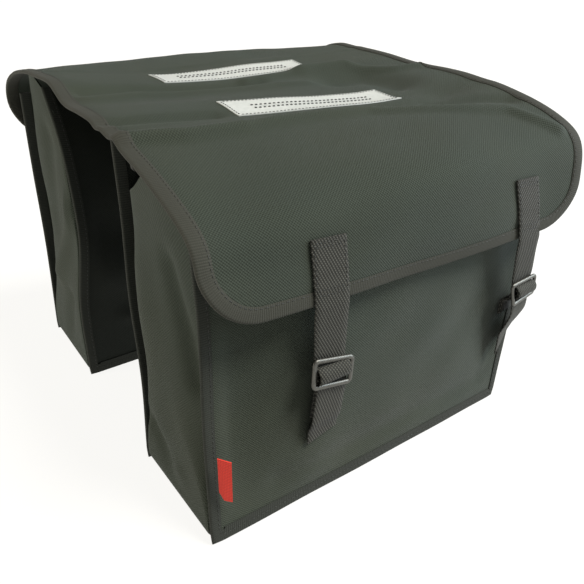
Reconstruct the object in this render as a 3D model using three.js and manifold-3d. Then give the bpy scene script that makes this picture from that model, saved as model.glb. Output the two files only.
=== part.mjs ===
// Double bicycle pannier: two soft cloth bags joined by a bridge panel, standing on the floor.
// Millimetres, +Z up; X runs across the rack toward the near bag, Y along the bags.
import * as THREE from "three";
import Module from "manifold-3d";

const wasm = await Module();
wasm.setup();

// Cloth, tape and webbing
const cloth = 2;
const tape = 0.8;
const tapeWidth = 11;
const webbing = 1.6;
const webbingWidth = 32;
const gap = 0.3;

// Bags: length over the bound seams, ribs of the seams, seam line inside the rib
const bagLength = 380;
const ribWidth = 9.4;
const ribThickness = 3;
const seamInset = 2;
const fullBulgeWidth = 100;
const panelCorner = 3;
const panelBorder = 2;
const footZ = ribWidth + gap + 0.4;
const panelHalf = bagLength / 2 - footZ;

// Top sheet: bridge and both flaps, with rounded flap corners
const sheetHalf = 195;
const flapCorner = 50;

// Reflective patches round the bridge slots
const patchLength = 168;
const patchWidth = 41;
const patchThickness = 0.8;
const slotLength = 116;
const slotWidth = 2.4;

// Slide buckles
const buckle = { width: 43, height: 27, thickness: 3, bar: 3, corner: 4.5 };

// Lines along the top sheet from the near hem to the far hem: x and z at its left end, middle and right end
const topLines = [
  { at: "nearHem", leftX: 198, leftZ: 205, midX: 204, midZ: 207, rightX: 221, rightZ: 225 },
  { at: "nearFront", leftX: 190, leftZ: 236, midX: 204, midZ: 245, rightX: 219, rightZ: 262 },
  { at: "nearBend", leftX: 174, leftZ: 266, midX: 191, midZ: 286, rightX: 204, rightZ: 300 },
  { at: "nearCrown", leftX: 108, leftZ: 290, midX: 134, midZ: 304, rightX: 152, rightZ: 324 },
  { at: "nearSeam", leftX: 40, leftZ: 304, midX: 74, midZ: 311, rightX: 92, rightZ: 334 },
  { at: "nearRidge", leftX: -8, leftZ: 308, midX: 26, midZ: 317, rightX: 44, rightZ: 337 },
  { at: "valley", leftX: -48, leftZ: 308, midX: -26, midZ: 313, rightX: -8, rightZ: 337 },
  { at: "farRidge", leftX: -86, leftZ: 319, midX: -76, midZ: 319, rightX: -56, rightZ: 340 },
  { at: "farSeam", leftX: -140, leftZ: 319, midX: -120, midZ: 323, rightX: -98, rightZ: 342 },
  { at: "farBend", leftX: -206, leftZ: 312, midX: -184, midZ: 327, rightX: -150, rightZ: 341 },
  { at: "farLip", leftX: -248, leftZ: 286, midX: -216, midZ: 292, rightX: -178, rightZ: 308 },
  { at: "farHem", leftX: -240, leftZ: 236, midX: -214, midZ: 232, rightX: -184, rightZ: 242 },
];

// Lines along the panels from the mouth down: x and z at the left end, middle and right end,
// and where the panel's two side edges run
const nearOuterLines = [
  { leftX: 172, leftZ: 255, midX: 185, midZ: 272, rightX: 192, rightZ: 292, leftY: -183, rightY: 177 },
  { leftX: 183, leftZ: 190, midX: 194, midZ: 200, rightX: 196, rightZ: 205, leftY: -184, rightY: 172 },
  { leftX: 192, leftZ: 100, midX: 198, midZ: 105, rightX: 198, rightZ: 105, leftY: -186, rightY: 174 },
  { leftX: 196, leftZ: footZ, midX: 200, midZ: footZ, rightX: 199, rightZ: footZ, leftY: -182, rightY: 173 },
];
const farOuterLines = [
  { leftX: -186, leftZ: 292, midX: -176, midZ: 302, rightX: -146, rightZ: 322, leftY: -187, rightY: 180 },
  { leftX: -195, leftZ: 205, midX: -188, midZ: 205, rightX: -166, rightZ: 210, leftY: -184, rightY: 180 },
  { leftX: -196, leftZ: 120, midX: -191, midZ: 110, rightX: -180, rightZ: 110, leftY: -182, rightY: 180 },
  { leftX: -192, leftZ: footZ, midX: -190, midZ: footZ, rightX: -187, rightZ: footZ, leftY: -184, rightY: 180 },
];
const nearBackLines = [
  { leftX: 48, leftZ: 235, midX: 72, midZ: 240, rightX: 88, rightZ: 245, leftY: -179, rightY: 179 },
  { leftX: 59, leftZ: 165, midX: 76, midZ: 165, rightX: 84, rightZ: 165, leftY: -182, rightY: 177 },
  { leftX: 71, leftZ: 90, midX: 80, midZ: 90, rightX: 82, rightZ: 90, leftY: -184, rightY: 175 },
  { leftX: 78, leftZ: footZ, midX: 80, midZ: footZ, rightX: 80, rightZ: footZ, leftY: -183, rightY: 174 },
];
const farBackLines = [
  { leftX: -96, leftZ: 252, midX: -92, midZ: 250, rightX: -80, rightZ: 255, leftY: -178, rightY: 180 },
  { leftX: -71, leftZ: 170, midX: -78, midZ: 165, rightX: -70, rightZ: 165, leftY: -180, rightY: 180 },
  { leftX: -74, leftZ: 90, midX: -80, midZ: 90, rightX: -75, rightZ: 90, leftY: -186, rightY: 180 },
  { leftX: -76, leftZ: footZ, midX: -80, midZ: footZ, rightX: -80, rightZ: footZ, leftY: -184, rightY: 180 },
];

// Gusset cross-section from the back seam to the front seam: share of the width and of the bulge
const gussetProfile = [
  { across: 0, bulge: 0 },
  { across: 0.06, bulge: 0.65 },
  { across: 0.13, bulge: 1 },
  { across: 0.5, bulge: 1 },
  { across: 0.87, bulge: 1 },
  { across: 0.94, bulge: 0.65 },
  { across: 1, bulge: 0 },
];

// How far the gusset rim stays below the back panel's top at the left and right ends
const nearRim = { left: 42, right: 22 };
const farRim = { left: 44, right: 22 };

// Straps: place along Y, buckle height and distance off the panel, slant in degrees, free tail and foot of the tab
const strapRows = [
  { name: "near_left", side: 1, y: -96, buckleZ: 144, standoff: 12, slant: 4.5, tail: 60, tabLow: 96 },
  { name: "near_right", side: 1, y: 117, buckleZ: 162, standoff: 23, slant: 15, tail: 50, tabLow: 128 },
  { name: "far_left", side: -1, y: -104, buckleZ: 143, standoff: 12, slant: 0, tail: 55, tabLow: 96 },
  { name: "far_right", side: -1, y: 104, buckleZ: 143, standoff: 12, slant: 0, tail: 55, tabLow: 96 },
];
const tabSewn = 16;

const materials = {
  cloth: new THREE.MeshStandardMaterial({ color: 0x454a42, roughness: 0.9 }),
  tape: new THREE.MeshStandardMaterial({ color: 0x2c302c, roughness: 0.85 }),
  webbing: new THREE.MeshStandardMaterial({ color: 0x3b3d36, roughness: 0.9 }),
  metal: new THREE.MeshStandardMaterial({ color: 0xa3a39c, roughness: 0.4, metalness: 0.8 }),
  reflective: new THREE.MeshStandardMaterial({ color: 0xc9cdcd, roughness: 0.4 }),
  label: new THREE.MeshStandardMaterial({ color: 0xc43a2c, roughness: 0.8 }),
};

const part = new THREE.Group();

function addMesh(parent, name, geometry, material) {
  const mesh = new THREE.Mesh(geometry, material);
  mesh.name = name;
  parent.add(mesh);
  return mesh;
}

// Closed solid from corner points and four-sided faces, turned so that its faces look outward
function solidFromQuads(points, quads) {
  const triangles = quads.flatMap(([a, b, c, d]) => [[a, b, c], [a, c, d]]);
  const volume = triangles.reduce(
    (sum, [a, b, c]) => sum + points[a].dot(points[b].clone().cross(points[c])), 0);
  const index = triangles.flatMap(([a, b, c]) => (volume > 0 ? [a, b, c] : [a, c, b]));
  const geometry = new THREE.BufferGeometry().setFromPoints(points);
  geometry.setIndex(index);
  geometry.computeVertexNormals();
  return geometry;
}

// Solid through a list of matching closed sections, capped at both ends; turned faces split the other way
function sweepSections(sections, capQuads, turned = []) {
  const size = sections[0].length;
  const last = (sections.length - 1) * size;
  const quads = [];
  for (let k = 0; k < sections.length - 1; k += 1) {
    for (let i = 0; i < size; i += 1) {
      const j = (i + 1) % size;
      const quad = [k * size + i, k * size + j, (k + 1) * size + j, (k + 1) * size + i];
      quads.push(turned.includes(i) ? [...quad.slice(1), quad[0]] : quad);
    }
  }
  capQuads.forEach((quad) => {
    quads.push([...quad].reverse());
    quads.push(quad.map((i) => last + i));
  });
  return solidFromQuads(sections.flat(), quads);
}

// Solid sheet of even thickness about a net of points with normals and its boundary loop
function thicken(places, quads, loop, thickness) {
  const count = places.length;
  const side = (share) => places.map(({ point, normal }) =>
    point.clone().addScaledVector(normal, share * thickness));
  const walls = loop.map((p, k) => {
    const q = loop[(k + 1) % loop.length];
    return [q, p, p + count, q + count];
  });
  const back = quads.map(([a, b, c, d]) => [a, d, c, b].map((i) => i + count));
  return solidFromQuads([...side(0.5), ...side(-0.5)], [...quads, ...back, ...walls]);
}

// Section curves of a lofted sheet, one for each place along Y
function loftSections(lines, halfLength) {
  const rails = lines.map((line) => new THREE.CatmullRomCurve3([
    new THREE.Vector3(line.leftX, line.leftY ?? -halfLength, line.leftZ),
    new THREE.Vector3(line.midX, ((line.leftY ?? 0) + (line.rightY ?? 0)) / 2, line.midZ),
    new THREE.Vector3(line.rightX, line.rightY ?? halfLength, line.rightZ),
  ], false, "catmullrom", 0.5));
  return (along) => {
    const points = rails.map((rail) => rail.getPoint(along));
    return new THREE.CatmullRomCurve3(points, false, "catmullrom", 0.5);
  };
}

// Surface between two lines of a lofted sheet, even in length across, trimmed a little at both ends
function spanSurface(lines, halfLength, first, last, trim) {
  const steps = 20;
  const sectionAt = loftSections(lines, halfLength);
  return (across, along) => {
    const section = sectionAt(along);
    section.arcLengthDivisions = steps * (lines.length - 1);
    const lengths = section.getLengths();
    const start = lengths[steps * first] + (first < last ? trim : -trim);
    const end = lengths[steps * last] + (first < last ? -trim : trim);
    const place = (start + (end - start) * across) / lengths.at(-1);
    return section.getPointAt(THREE.MathUtils.clamp(place, 0, 1));
  };
}

// Length of a surface across its middle
function spanLength(surface) {
  const points = Array.from({ length: 41 }, (_, i) => surface(i / 40, 0.5));
  return points.slice(1).reduce((sum, point, i) => sum + point.distanceTo(points[i]), 0);
}

// Point and normal of a surface, the normal on the side that faces the given direction
function placeOn(surface, facing) {
  const step = 0.004;
  return (across, along) => {
    const down = surface(Math.min(across + step, 1), along).sub(surface(Math.max(across - step, 0), along));
    const forward = surface(across, Math.min(along + step, 1)).sub(surface(across, Math.max(along - step, 0)));
    const normal = down.cross(forward).normalize();
    normal.multiplyScalar(Math.sign(normal.dot(facing)));
    return { point: surface(across, along), normal };
  };
}

// Sheet with a plain top edge and two rounded corners below; its rim lists matching inner and outer places
function roundedSheet({ surface, halfLength, facing, corner, cornerSteps, border, rows, columns }) {
  const height = spanLength(surface);
  const width = 2 * halfLength;
  const place = placeOn(surface, facing);
  const at = (down, along) => place(Math.min(down / height, 1), along / width);
  const levels = [];
  for (let i = 0; i <= rows; i += 1) {
    const down = ((height - corner) * i) / rows;
    levels.push({ inner: down, inset: border, outer: down, outerInset: 0 });
  }
  for (let k = 1; k <= cornerSteps; k += 1) {
    const turn = (k / cornerSteps) * (Math.PI / 2);
    const reach = corner - border;
    levels.push({
      inner: height - corner + reach * Math.sin(turn),
      inset: border + reach * (1 - Math.cos(turn)),
      outer: height - corner + corner * Math.sin(turn),
      outerInset: corner * (1 - Math.cos(turn)),
    });
  }
  const lastRow = levels.length - 1;
  const alongAt = (level, j) => level.inset + ((width - 2 * level.inset) * j) / columns;
  const places = [];
  levels.forEach((level) => {
    for (let j = 0; j <= columns; j += 1) places.push(at(level.inner, alongAt(level, j)));
  });
  const cell = (i, j) => i * (columns + 1) + j;
  const rim = [];
  const addRim = (inner, outer) => {
    places.push(outer);
    rim.push({ inner, outer: places.length - 1 });
  };
  levels.forEach((level, i) => addRim(cell(i, 0), at(level.outer, level.outerInset)));
  for (let j = 1; j < columns; j += 1) {
    addRim(cell(lastRow, j), at(height, alongAt(levels[lastRow], j)));
  }
  levels.toReversed().forEach((level, i) =>
    addRim(cell(lastRow - i, columns), at(level.outer, width - level.outerInset)));
  const quads = [];
  for (let i = 0; i < lastRow; i += 1) {
    for (let j = 0; j < columns; j += 1) {
      quads.push([cell(i, j), cell(i + 1, j), cell(i + 1, j + 1), cell(i, j + 1)]);
    }
  }
  for (let k = 0; k < rim.length - 1; k += 1) {
    quads.push([rim[k].inner, rim[k].outer, rim[k + 1].outer, rim[k + 1].inner]);
  }
  const loop = rim.map(({ outer }) => outer);
  for (let j = columns; j >= 0; j -= 1) loop.push(cell(0, j));
  const border3d = rim.map(({ inner, outer }) => rimPlace(places[inner], places[outer]));
  return {
    geometry: thicken(places, quads, loop, cloth),
    rim: border3d,
    downs: [...levels.map(({ inner }) => inner), height],
    height,
    place: (down, along) => at(down, along),
  };
}

// Edge place of a sheet: its inner and outer points, their normals and the outward direction between them
function rimPlace(inner, outer) {
  const outward = outer.point.clone().sub(inner.point).normalize();
  return { inner, outer, outward };
}

// Plain rectangular net of a sheet over lists of shares across and along
function gridSheet(place, acrossList, alongList, thickness, lift) {
  const places = acrossList.flatMap((across) => alongList.map((along) => {
    const { point, normal } = place(across, along);
    return { point: point.addScaledVector(normal, lift), normal };
  }));
  const columns = alongList.length;
  const rows = acrossList.length;
  const cell = (i, j) => i * columns + j;
  const quads = [];
  for (let i = 0; i < rows - 1; i += 1) {
    for (let j = 0; j < columns - 1; j += 1) {
      quads.push([cell(i, j), cell(i + 1, j), cell(i + 1, j + 1), cell(i, j + 1)]);
    }
  }
  const loop = [];
  for (let i = 0; i < rows - 1; i += 1) loop.push(cell(i, 0));
  for (let j = 0; j < columns - 1; j += 1) loop.push(cell(rows - 1, j));
  for (let i = rows - 1; i > 0; i -= 1) loop.push(cell(i, columns - 1));
  for (let j = columns - 1; j > 0; j -= 1) loop.push(cell(0, j));
  return { geometry: thicken(places, quads, loop, thickness), places, cell };
}

// Folded tape round a sheet's edge: a channel with a lip on each face
function edgeBinding(rim) {
  const inside = cloth / 2 + gap;
  const outside = inside + tape;
  const sections = rim.map(({ inner, outer, outward }) => {
    const at = (base, lift, out) => base.point.clone()
      .addScaledVector(base.normal, lift).addScaledVector(outward, out);
    return [
      at(inner, inside, 0), at(outer, inside, gap), at(outer, -inside, gap), at(inner, -inside, 0),
      at(inner, -outside, 0), at(outer, -outside, gap + tape),
      at(outer, outside, gap + tape), at(inner, outside, 0),
    ];
  });
  return sweepSections(sections, [[7, 0, 1, 6], [6, 1, 2, 5], [5, 2, 3, 4]], [2, 6]);
}

// Rim with its two ends moved a given length down from the top
function shortenRim(rim, drop) {
  const lower = (from, to) => {
    const share = drop / from.outer.point.distanceTo(to.outer.point);
    const mix = (a, b) => ({
      point: a.point.clone().lerp(b.point, share),
      normal: a.normal.clone().lerp(b.normal, share).normalize(),
    });
    return rimPlace(mix(from.inner, to.inner), mix(from.outer, to.outer));
  };
  return [lower(rim[0], rim[1]), ...rim.slice(1, -1), lower(rim.at(-1), rim.at(-2))];
}

// Tape-bound seam standing out round a panel, in the panel's plane
function seamRib(rim) {
  const sections = rim.map(({ outer, outward }) => {
    const at = (out, lift) => outer.point.clone()
      .addScaledVector(outward, out).addScaledVector(outer.normal, lift * ribThickness);
    return [at(gap, 0.5), at(gap + ribWidth, 0.5), at(gap + ribWidth, -0.5), at(gap, -0.5)];
  });
  return sweepSections(sections, [[0, 1, 2, 3]]);
}

// Evenly spaced points down a line of points from a given length below its start
function resample(points, drop, steps) {
  const line = new THREE.CurvePath();
  points.slice(1).forEach((point, i) => line.add(new THREE.LineCurve3(points[i], point)));
  const length = line.getLength();
  return Array.from({ length: steps + 1 }, (_, i) =>
    line.getPoint(Math.min(1, (drop + ((length - drop) * i) / steps) / length)));
}

// Seam line of a gusset on a panel's inner face, starting at the rim of the mouth
function seamLine(panel, rows, drop) {
  const sideSteps = 6;
  const line = panel.rim.map(({ outer, outward }) => outer.point.clone()
    .addScaledVector(outward, -seamInset).addScaledVector(outer.normal, -(cloth / 2 + gap + 0.3)));
  const left = resample(line.slice(0, rows + 1), drop.left, sideSteps);
  const right = resample(line.slice(-rows - 1).toReversed(), drop.right, sideSteps);
  return [...left, ...line.slice(rows + 1, -rows - 1), ...right.toReversed()];
}

// Gusset strip of one bag: down the left side, along the floor and up the right side
function gussetStrip(back, front) {
  const bulge = footZ + seamInset - cloth / 2;
  const middle = back.map((point, k) => point.clone().lerp(front[k], 0.5));
  const centre = middle.reduce((sum, point) => sum.add(point), new THREE.Vector3())
    .divideScalar(middle.length).setZ(150);
  const last = middle.length - 1;
  const points = middle.map((point, k) => {
    const tangent = middle[Math.min(k + 1, last)].clone().sub(middle[Math.max(k - 1, 0)]);
    const across = front[k].clone().sub(back[k]);
    const depth = bulge * Math.min(1, across.length() / fullBulgeWidth);
    const out = tangent.cross(across).normalize();
    out.multiplyScalar(Math.sign(out.dot(point.clone().sub(centre))));
    const spots = gussetProfile.map((spot) => back[k].clone().lerp(front[k], spot.across)
      .addScaledVector(out, spot.bulge * depth));
    return { out, spots };
  });
  const columns = gussetProfile.length;
  const place = (k, j) => {
    const { out, spots } = points[k];
    if (gussetProfile[j].bulge % 1 === 0) return { point: spots[j], normal: out };
    const down = points[Math.min(k + 1, last)].spots[j].clone()
      .sub(points[Math.max(k - 1, 0)].spots[j]);
    const across = spots[Math.min(j + 1, columns - 1)].clone().sub(spots[Math.max(j - 1, 0)]);
    const normal = down.cross(across).normalize();
    normal.multiplyScalar(Math.sign(normal.dot(out)));
    return { point: spots[j], normal };
  };
  const rows = points.map((_, k) => k);
  const across = gussetProfile.map((_, j) => j);
  return gridSheet(place, rows, across, cloth, 0).geometry;
}

// Booleans between two closed geometries
function toManifold(geometry) {
  const position = geometry.getAttribute("position");
  return new wasm.Manifold(new wasm.Mesh({
    numProp: 3,
    vertProperties: new Float32Array(position.array),
    triVerts: new Uint32Array(geometry.getIndex().array),
  }));
}

function subtract(geometry, cutter) {
  const mesh = toManifold(geometry).subtract(toManifold(cutter)).getMesh();
  const result = new THREE.BufferGeometry();
  result.setAttribute("position", new THREE.BufferAttribute(new Float32Array(mesh.vertProperties), 3));
  result.setIndex(new THREE.BufferAttribute(new Uint32Array(mesh.triVerts), 1));
  result.computeVertexNormals();
  return result;
}

// Upright cutter with the outline of a ring of points, standing at a place along a direction
function cutterAt(outline, place, sideways, depth) {
  const up = place.normal;
  const right = sideways.clone().addScaledVector(up, -sideways.dot(up)).normalize();
  const forward = up.clone().cross(right);
  const ring = (lift) => outline.map(({ x, y }) => place.point.clone()
    .addScaledVector(right, x).addScaledVector(forward, y).addScaledVector(up, lift));
  const quads = [];
  for (let i = 0; i < outline.length / 2 - 1; i += 1) {
    const j = outline.length - 1 - i;
    quads.push([i, i + 1, j - 1, j]);
  }
  return sweepSections([ring(-depth), ring(depth)], quads);
}

function roundOutline(length, width, count) {
  const half = (length - width) / 2;
  return Array.from({ length: count }, (_, i) => {
    const turn = ((i + 0.5) / count) * 2 * Math.PI;
    const shift = Math.cos(turn) > 0 ? half : -half;
    return new THREE.Vector2(shift + (width / 2) * Math.cos(turn), (width / 2) * Math.sin(turn));
  });
}

// Top sheet: near flap, bridge and far flap share one set of lines
const lineAt = (name) => topLines.findIndex((line) => line.at === name);
const flapShape = {
  halfLength: sheetHalf, corner: flapCorner, cornerSteps: 4, border: tapeWidth, rows: 8, columns: 8,
};
const nearFlap = roundedSheet({
  ...flapShape,
  surface: spanSurface(topLines, sheetHalf, lineAt("nearSeam"), lineAt("nearHem"), gap / 2),
  facing: new THREE.Vector3(1, 0, 1),
});
const farFlap = roundedSheet({
  ...flapShape,
  surface: spanSurface(topLines, sheetHalf, lineAt("farSeam"), lineAt("farHem"), gap / 2),
  facing: new THREE.Vector3(-1, 0, 1),
});
const bridgePlace = placeOn(
  spanSurface(topLines, sheetHalf, lineAt("nearSeam"), lineAt("farSeam"), gap / 2),
  new THREE.Vector3(0, 0, 1));
const bridgeRows = 8;
const bridgeColumns = 8;
const borderShare = tapeWidth / (2 * sheetHalf);
const bridgeAcross = Array.from({ length: bridgeRows + 1 }, (_, i) => i / bridgeRows);
const bridgeAlong = [0, ...Array.from({ length: bridgeColumns + 1 }, (_, j) =>
  borderShare + ((1 - 2 * borderShare) * j) / bridgeColumns), 1];
const bridge = gridSheet(bridgePlace, bridgeAcross, bridgeAlong, cloth, 0);

// Slots through the bridge and the reflective patches round them
const bridgeWidth = spanLength((across) => bridgePlace(across, 0.5).point);
const patchRows = [
  { name: "near_reflective_patch", middle: 0.18, offset: 9 },
  { name: "far_reflective_patch", middle: 0.853, offset: 2 },
];
const slotOutline = roundOutline(slotLength, slotWidth, 12);
const alongY = new THREE.Vector3(0, 1, 0);
let bridgeSolid = bridge.geometry;
patchRows.forEach(({ name, middle, offset }) => {
  const halfAcross = patchWidth / bridgeWidth / 2;
  const halfAlong = patchLength / (2 * sheetHalf) / 2;
  const across = [-1, -0.33, 0.33, 1].map((share) => middle + share * halfAcross);
  const centre = 0.5 + offset / (2 * sheetHalf);
  const along = [-1, -0.6, -0.2, 0.2, 0.6, 1].map((share) => centre + share * halfAlong);
  const lift = cloth / 2 + gap + 0.2 + patchThickness / 2;
  const patch = gridSheet(bridgePlace, across, along, patchThickness, lift).geometry;
  const cut = bridgePlace(middle, centre);
  const ahead = bridgePlace(middle, centre + 0.1).point.sub(bridgePlace(middle, centre - 0.1).point);
  const cutter = cutterAt(slotOutline, cut, ahead.normalize(), 30);
  bridgeSolid = subtract(bridgeSolid, cutter);
  addMesh(part, name, subtract(patch, cutter), materials.reflective);
});
addMesh(part, "bridge_panel", bridgeSolid, materials.cloth);

// Bindings of the bridge's two free edges
const lastColumn = bridgeAlong.length - 1;
[
  { name: "bridge_binding_left", outer: 0, inner: 1 },
  { name: "bridge_binding_right", outer: lastColumn, inner: lastColumn - 1 },
].forEach(({ name, outer, inner }) => {
  const rim = bridgeAcross.map((_, i) =>
    rimPlace(bridge.places[bridge.cell(i, inner)], bridge.places[bridge.cell(i, outer)]));
  addMesh(part, name, edgeBinding(rim), materials.tape);
});

// One bag: panels, ribs, gusset, flap and its binding
const panelShape = {
  halfLength: panelHalf, corner: panelCorner, cornerSteps: 2, border: panelBorder, rows: 6, columns: 5,
};
function panelSheet(lines, facing) {
  return roundedSheet({
    ...panelShape,
    surface: spanSurface(lines, panelHalf, 0, lines.length - 1, 0),
    facing,
  });
}

// Top line of a back panel, hanging under the top sheet's seam
function seamTop(name) {
  const line = topLines[lineAt(name)];
  const rail = new THREE.CatmullRomCurve3([
    new THREE.Vector3(line.leftX, -sheetHalf, line.leftZ),
    new THREE.Vector3(line.midX, 0, line.midZ),
    new THREE.Vector3(line.rightX, sheetHalf, line.rightZ),
  ], false, "catmullrom", 0.5);
  const at = (y) => rail.getPoint(0.5 + y / (2 * sheetHalf));
  const drop = cloth / 2 + 3 * gap;
  const [left, mid, right] = [at(-panelHalf), at(0), at(panelHalf)];
  return {
    leftX: left.x, leftZ: left.z - drop,
    midX: mid.x, midZ: mid.z - drop,
    rightX: right.x, rightZ: right.z - drop,
  };
}

// Middle and normal of a sheet's flat facet at a place on it
function facetAt(geometry, { point, normal }) {
  const above = point.clone().addScaledVector(normal, 20);
  const [hit] = new THREE.Raycaster(above, normal.clone().negate()).intersectObject(new THREE.Mesh(geometry));
  return { point: hit.point.addScaledVector(hit.face.normal, -cloth / 2), normal: hit.face.normal };
}

const eyelet = { inner: 2.6, barrel: 3.4, flange: 5.2, lip: 0.6, down: 27, along: 8 };

function addBag({ name, side, outerLines, backLines, seam, rimDrop, flap }) {
  const out = new THREE.Vector3(side, 0, 0);
  const outer = panelSheet(outerLines, out);
  const back = panelSheet([seamTop(seam), ...backLines], out.clone().negate());
  const rows = panelShape.rows;
  addMesh(part, `${name}_outer_panel`, outer.geometry, materials.cloth);
  addMesh(part, `${name}_outer_seam`, seamRib(outer.rim), materials.tape);
  addMesh(part, `${name}_back_seam`, seamRib(shortenRim(back.rim, 6)), materials.tape);
  const frontLine = seamLine(outer, rows, { left: 0, right: 0 });
  const backLine = seamLine(back, rows, rimDrop);
  addMesh(part, `${name}_gusset`, gussetStrip(backLine, frontLine), materials.cloth);
  addMesh(part, `${name}_flap`, flap.geometry, materials.cloth);
  addMesh(part, `${name}_flap_binding`, edgeBinding(flap.rim), materials.tape);

  // Eyelet through the back panel's top corner
  const spot = facetAt(back.geometry, back.place(eyelet.down, eyelet.along));
  const hole = roundOutline(2 * (eyelet.barrel + gap), 2 * (eyelet.barrel + gap), 16);
  const panel = subtract(back.geometry, cutterAt(hole, spot, alongY, 6));
  addMesh(part, `${name}_back_panel`, panel, materials.cloth);
  const seat = cloth / 2 + gap;
  const ring = [
    [eyelet.inner, -seat - eyelet.lip], [eyelet.flange, -seat - eyelet.lip], [eyelet.flange, -seat],
    [eyelet.barrel, -seat], [eyelet.barrel, seat], [eyelet.flange, seat],
    [eyelet.flange, seat + eyelet.lip], [eyelet.inner, seat + eyelet.lip], [eyelet.inner, -seat - eyelet.lip],
  ].map(([x, y]) => new THREE.Vector2(x, y));
  const mesh = addMesh(part, `${name}_eyelet`, new THREE.LatheGeometry(ring, 16), materials.metal);
  mesh.position.copy(spot.point);
  mesh.quaternion.setFromUnitVectors(alongY, spot.normal);
  return outer;
}

const nearOuter = addBag({
  name: "near", side: 1, outerLines: nearOuterLines, backLines: nearBackLines,
  seam: "nearSeam", rimDrop: nearRim, flap: nearFlap,
});
const farOuter = addBag({
  name: "far", side: -1, outerLines: farOuterLines, backLines: farBackLines,
  seam: "farSeam", rimDrop: farRim, flap: farFlap,
});

// Ribbon of webbing: a side profile of points pushed out to the webbing's width
function ribbon(profile, thickness, width) {
  const edge = (side) => profile.map((point, i) => {
    const before = profile[Math.max(i - 1, 0)];
    const after = profile[Math.min(i + 1, profile.length - 1)];
    const into = point.clone().sub(before).normalize();
    const onward = after.clone().sub(point).normalize();
    const along = into.add(onward).normalize();
    const turn = Math.max(0.7, point === before || point === after ? 1 : along.dot(onward));
    const offset = new THREE.Vector2(-along.y, along.x).multiplyScalar((side * thickness) / 2 / turn);
    return point.clone().add(offset);
  });
  const left = edge(1);
  const right = edge(-1);
  const sections = profile.map((_, i) => [
    new THREE.Vector3(left[i].x, -width / 2, left[i].y),
    new THREE.Vector3(left[i].x, width / 2, left[i].y),
    new THREE.Vector3(right[i].x, width / 2, right[i].y),
    new THREE.Vector3(right[i].x, -width / 2, right[i].y),
  ]);
  return sweepSections(sections, [[0, 1, 2, 3]]);
}

// Frame of a slide buckle with a middle bar
function buckleFrame() {
  const { width, height, thickness, bar, corner } = buckle;
  const rounded = (x0, y0, x1, y1, radius) => {
    const shape = new THREE.Shape();
    shape.absarc(x1 - radius, y0 + radius, radius, -Math.PI / 2, 0);
    shape.absarc(x1 - radius, y1 - radius, radius, 0, Math.PI / 2);
    shape.absarc(x0 + radius, y1 - radius, radius, Math.PI / 2, Math.PI);
    shape.absarc(x0 + radius, y0 + radius, radius, Math.PI, 1.5 * Math.PI);
    return shape;
  };
  const shape = rounded(-width / 2, -height / 2, width / 2, height / 2, corner);
  const inner = width / 2 - bar;
  shape.holes.push(rounded(-inner, bar / 2, inner, height / 2 - bar, 2));
  shape.holes.push(rounded(-inner, bar - height / 2, inner, -bar / 2, 2));
  const geometry = new THREE.ExtrudeGeometry(shape, {
    depth: thickness, bevelEnabled: false, curveSegments: 3,
  });
  geometry.translate(0, 0, -thickness / 2);
  const across = new THREE.Vector3(0, 1, 0);
  const up = new THREE.Vector3(0, 0, 1);
  const front = new THREE.Vector3(1, 0, 0);
  geometry.applyMatrix4(new THREE.Matrix4().makeBasis(across, up, front));
  return geometry;
}

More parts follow.
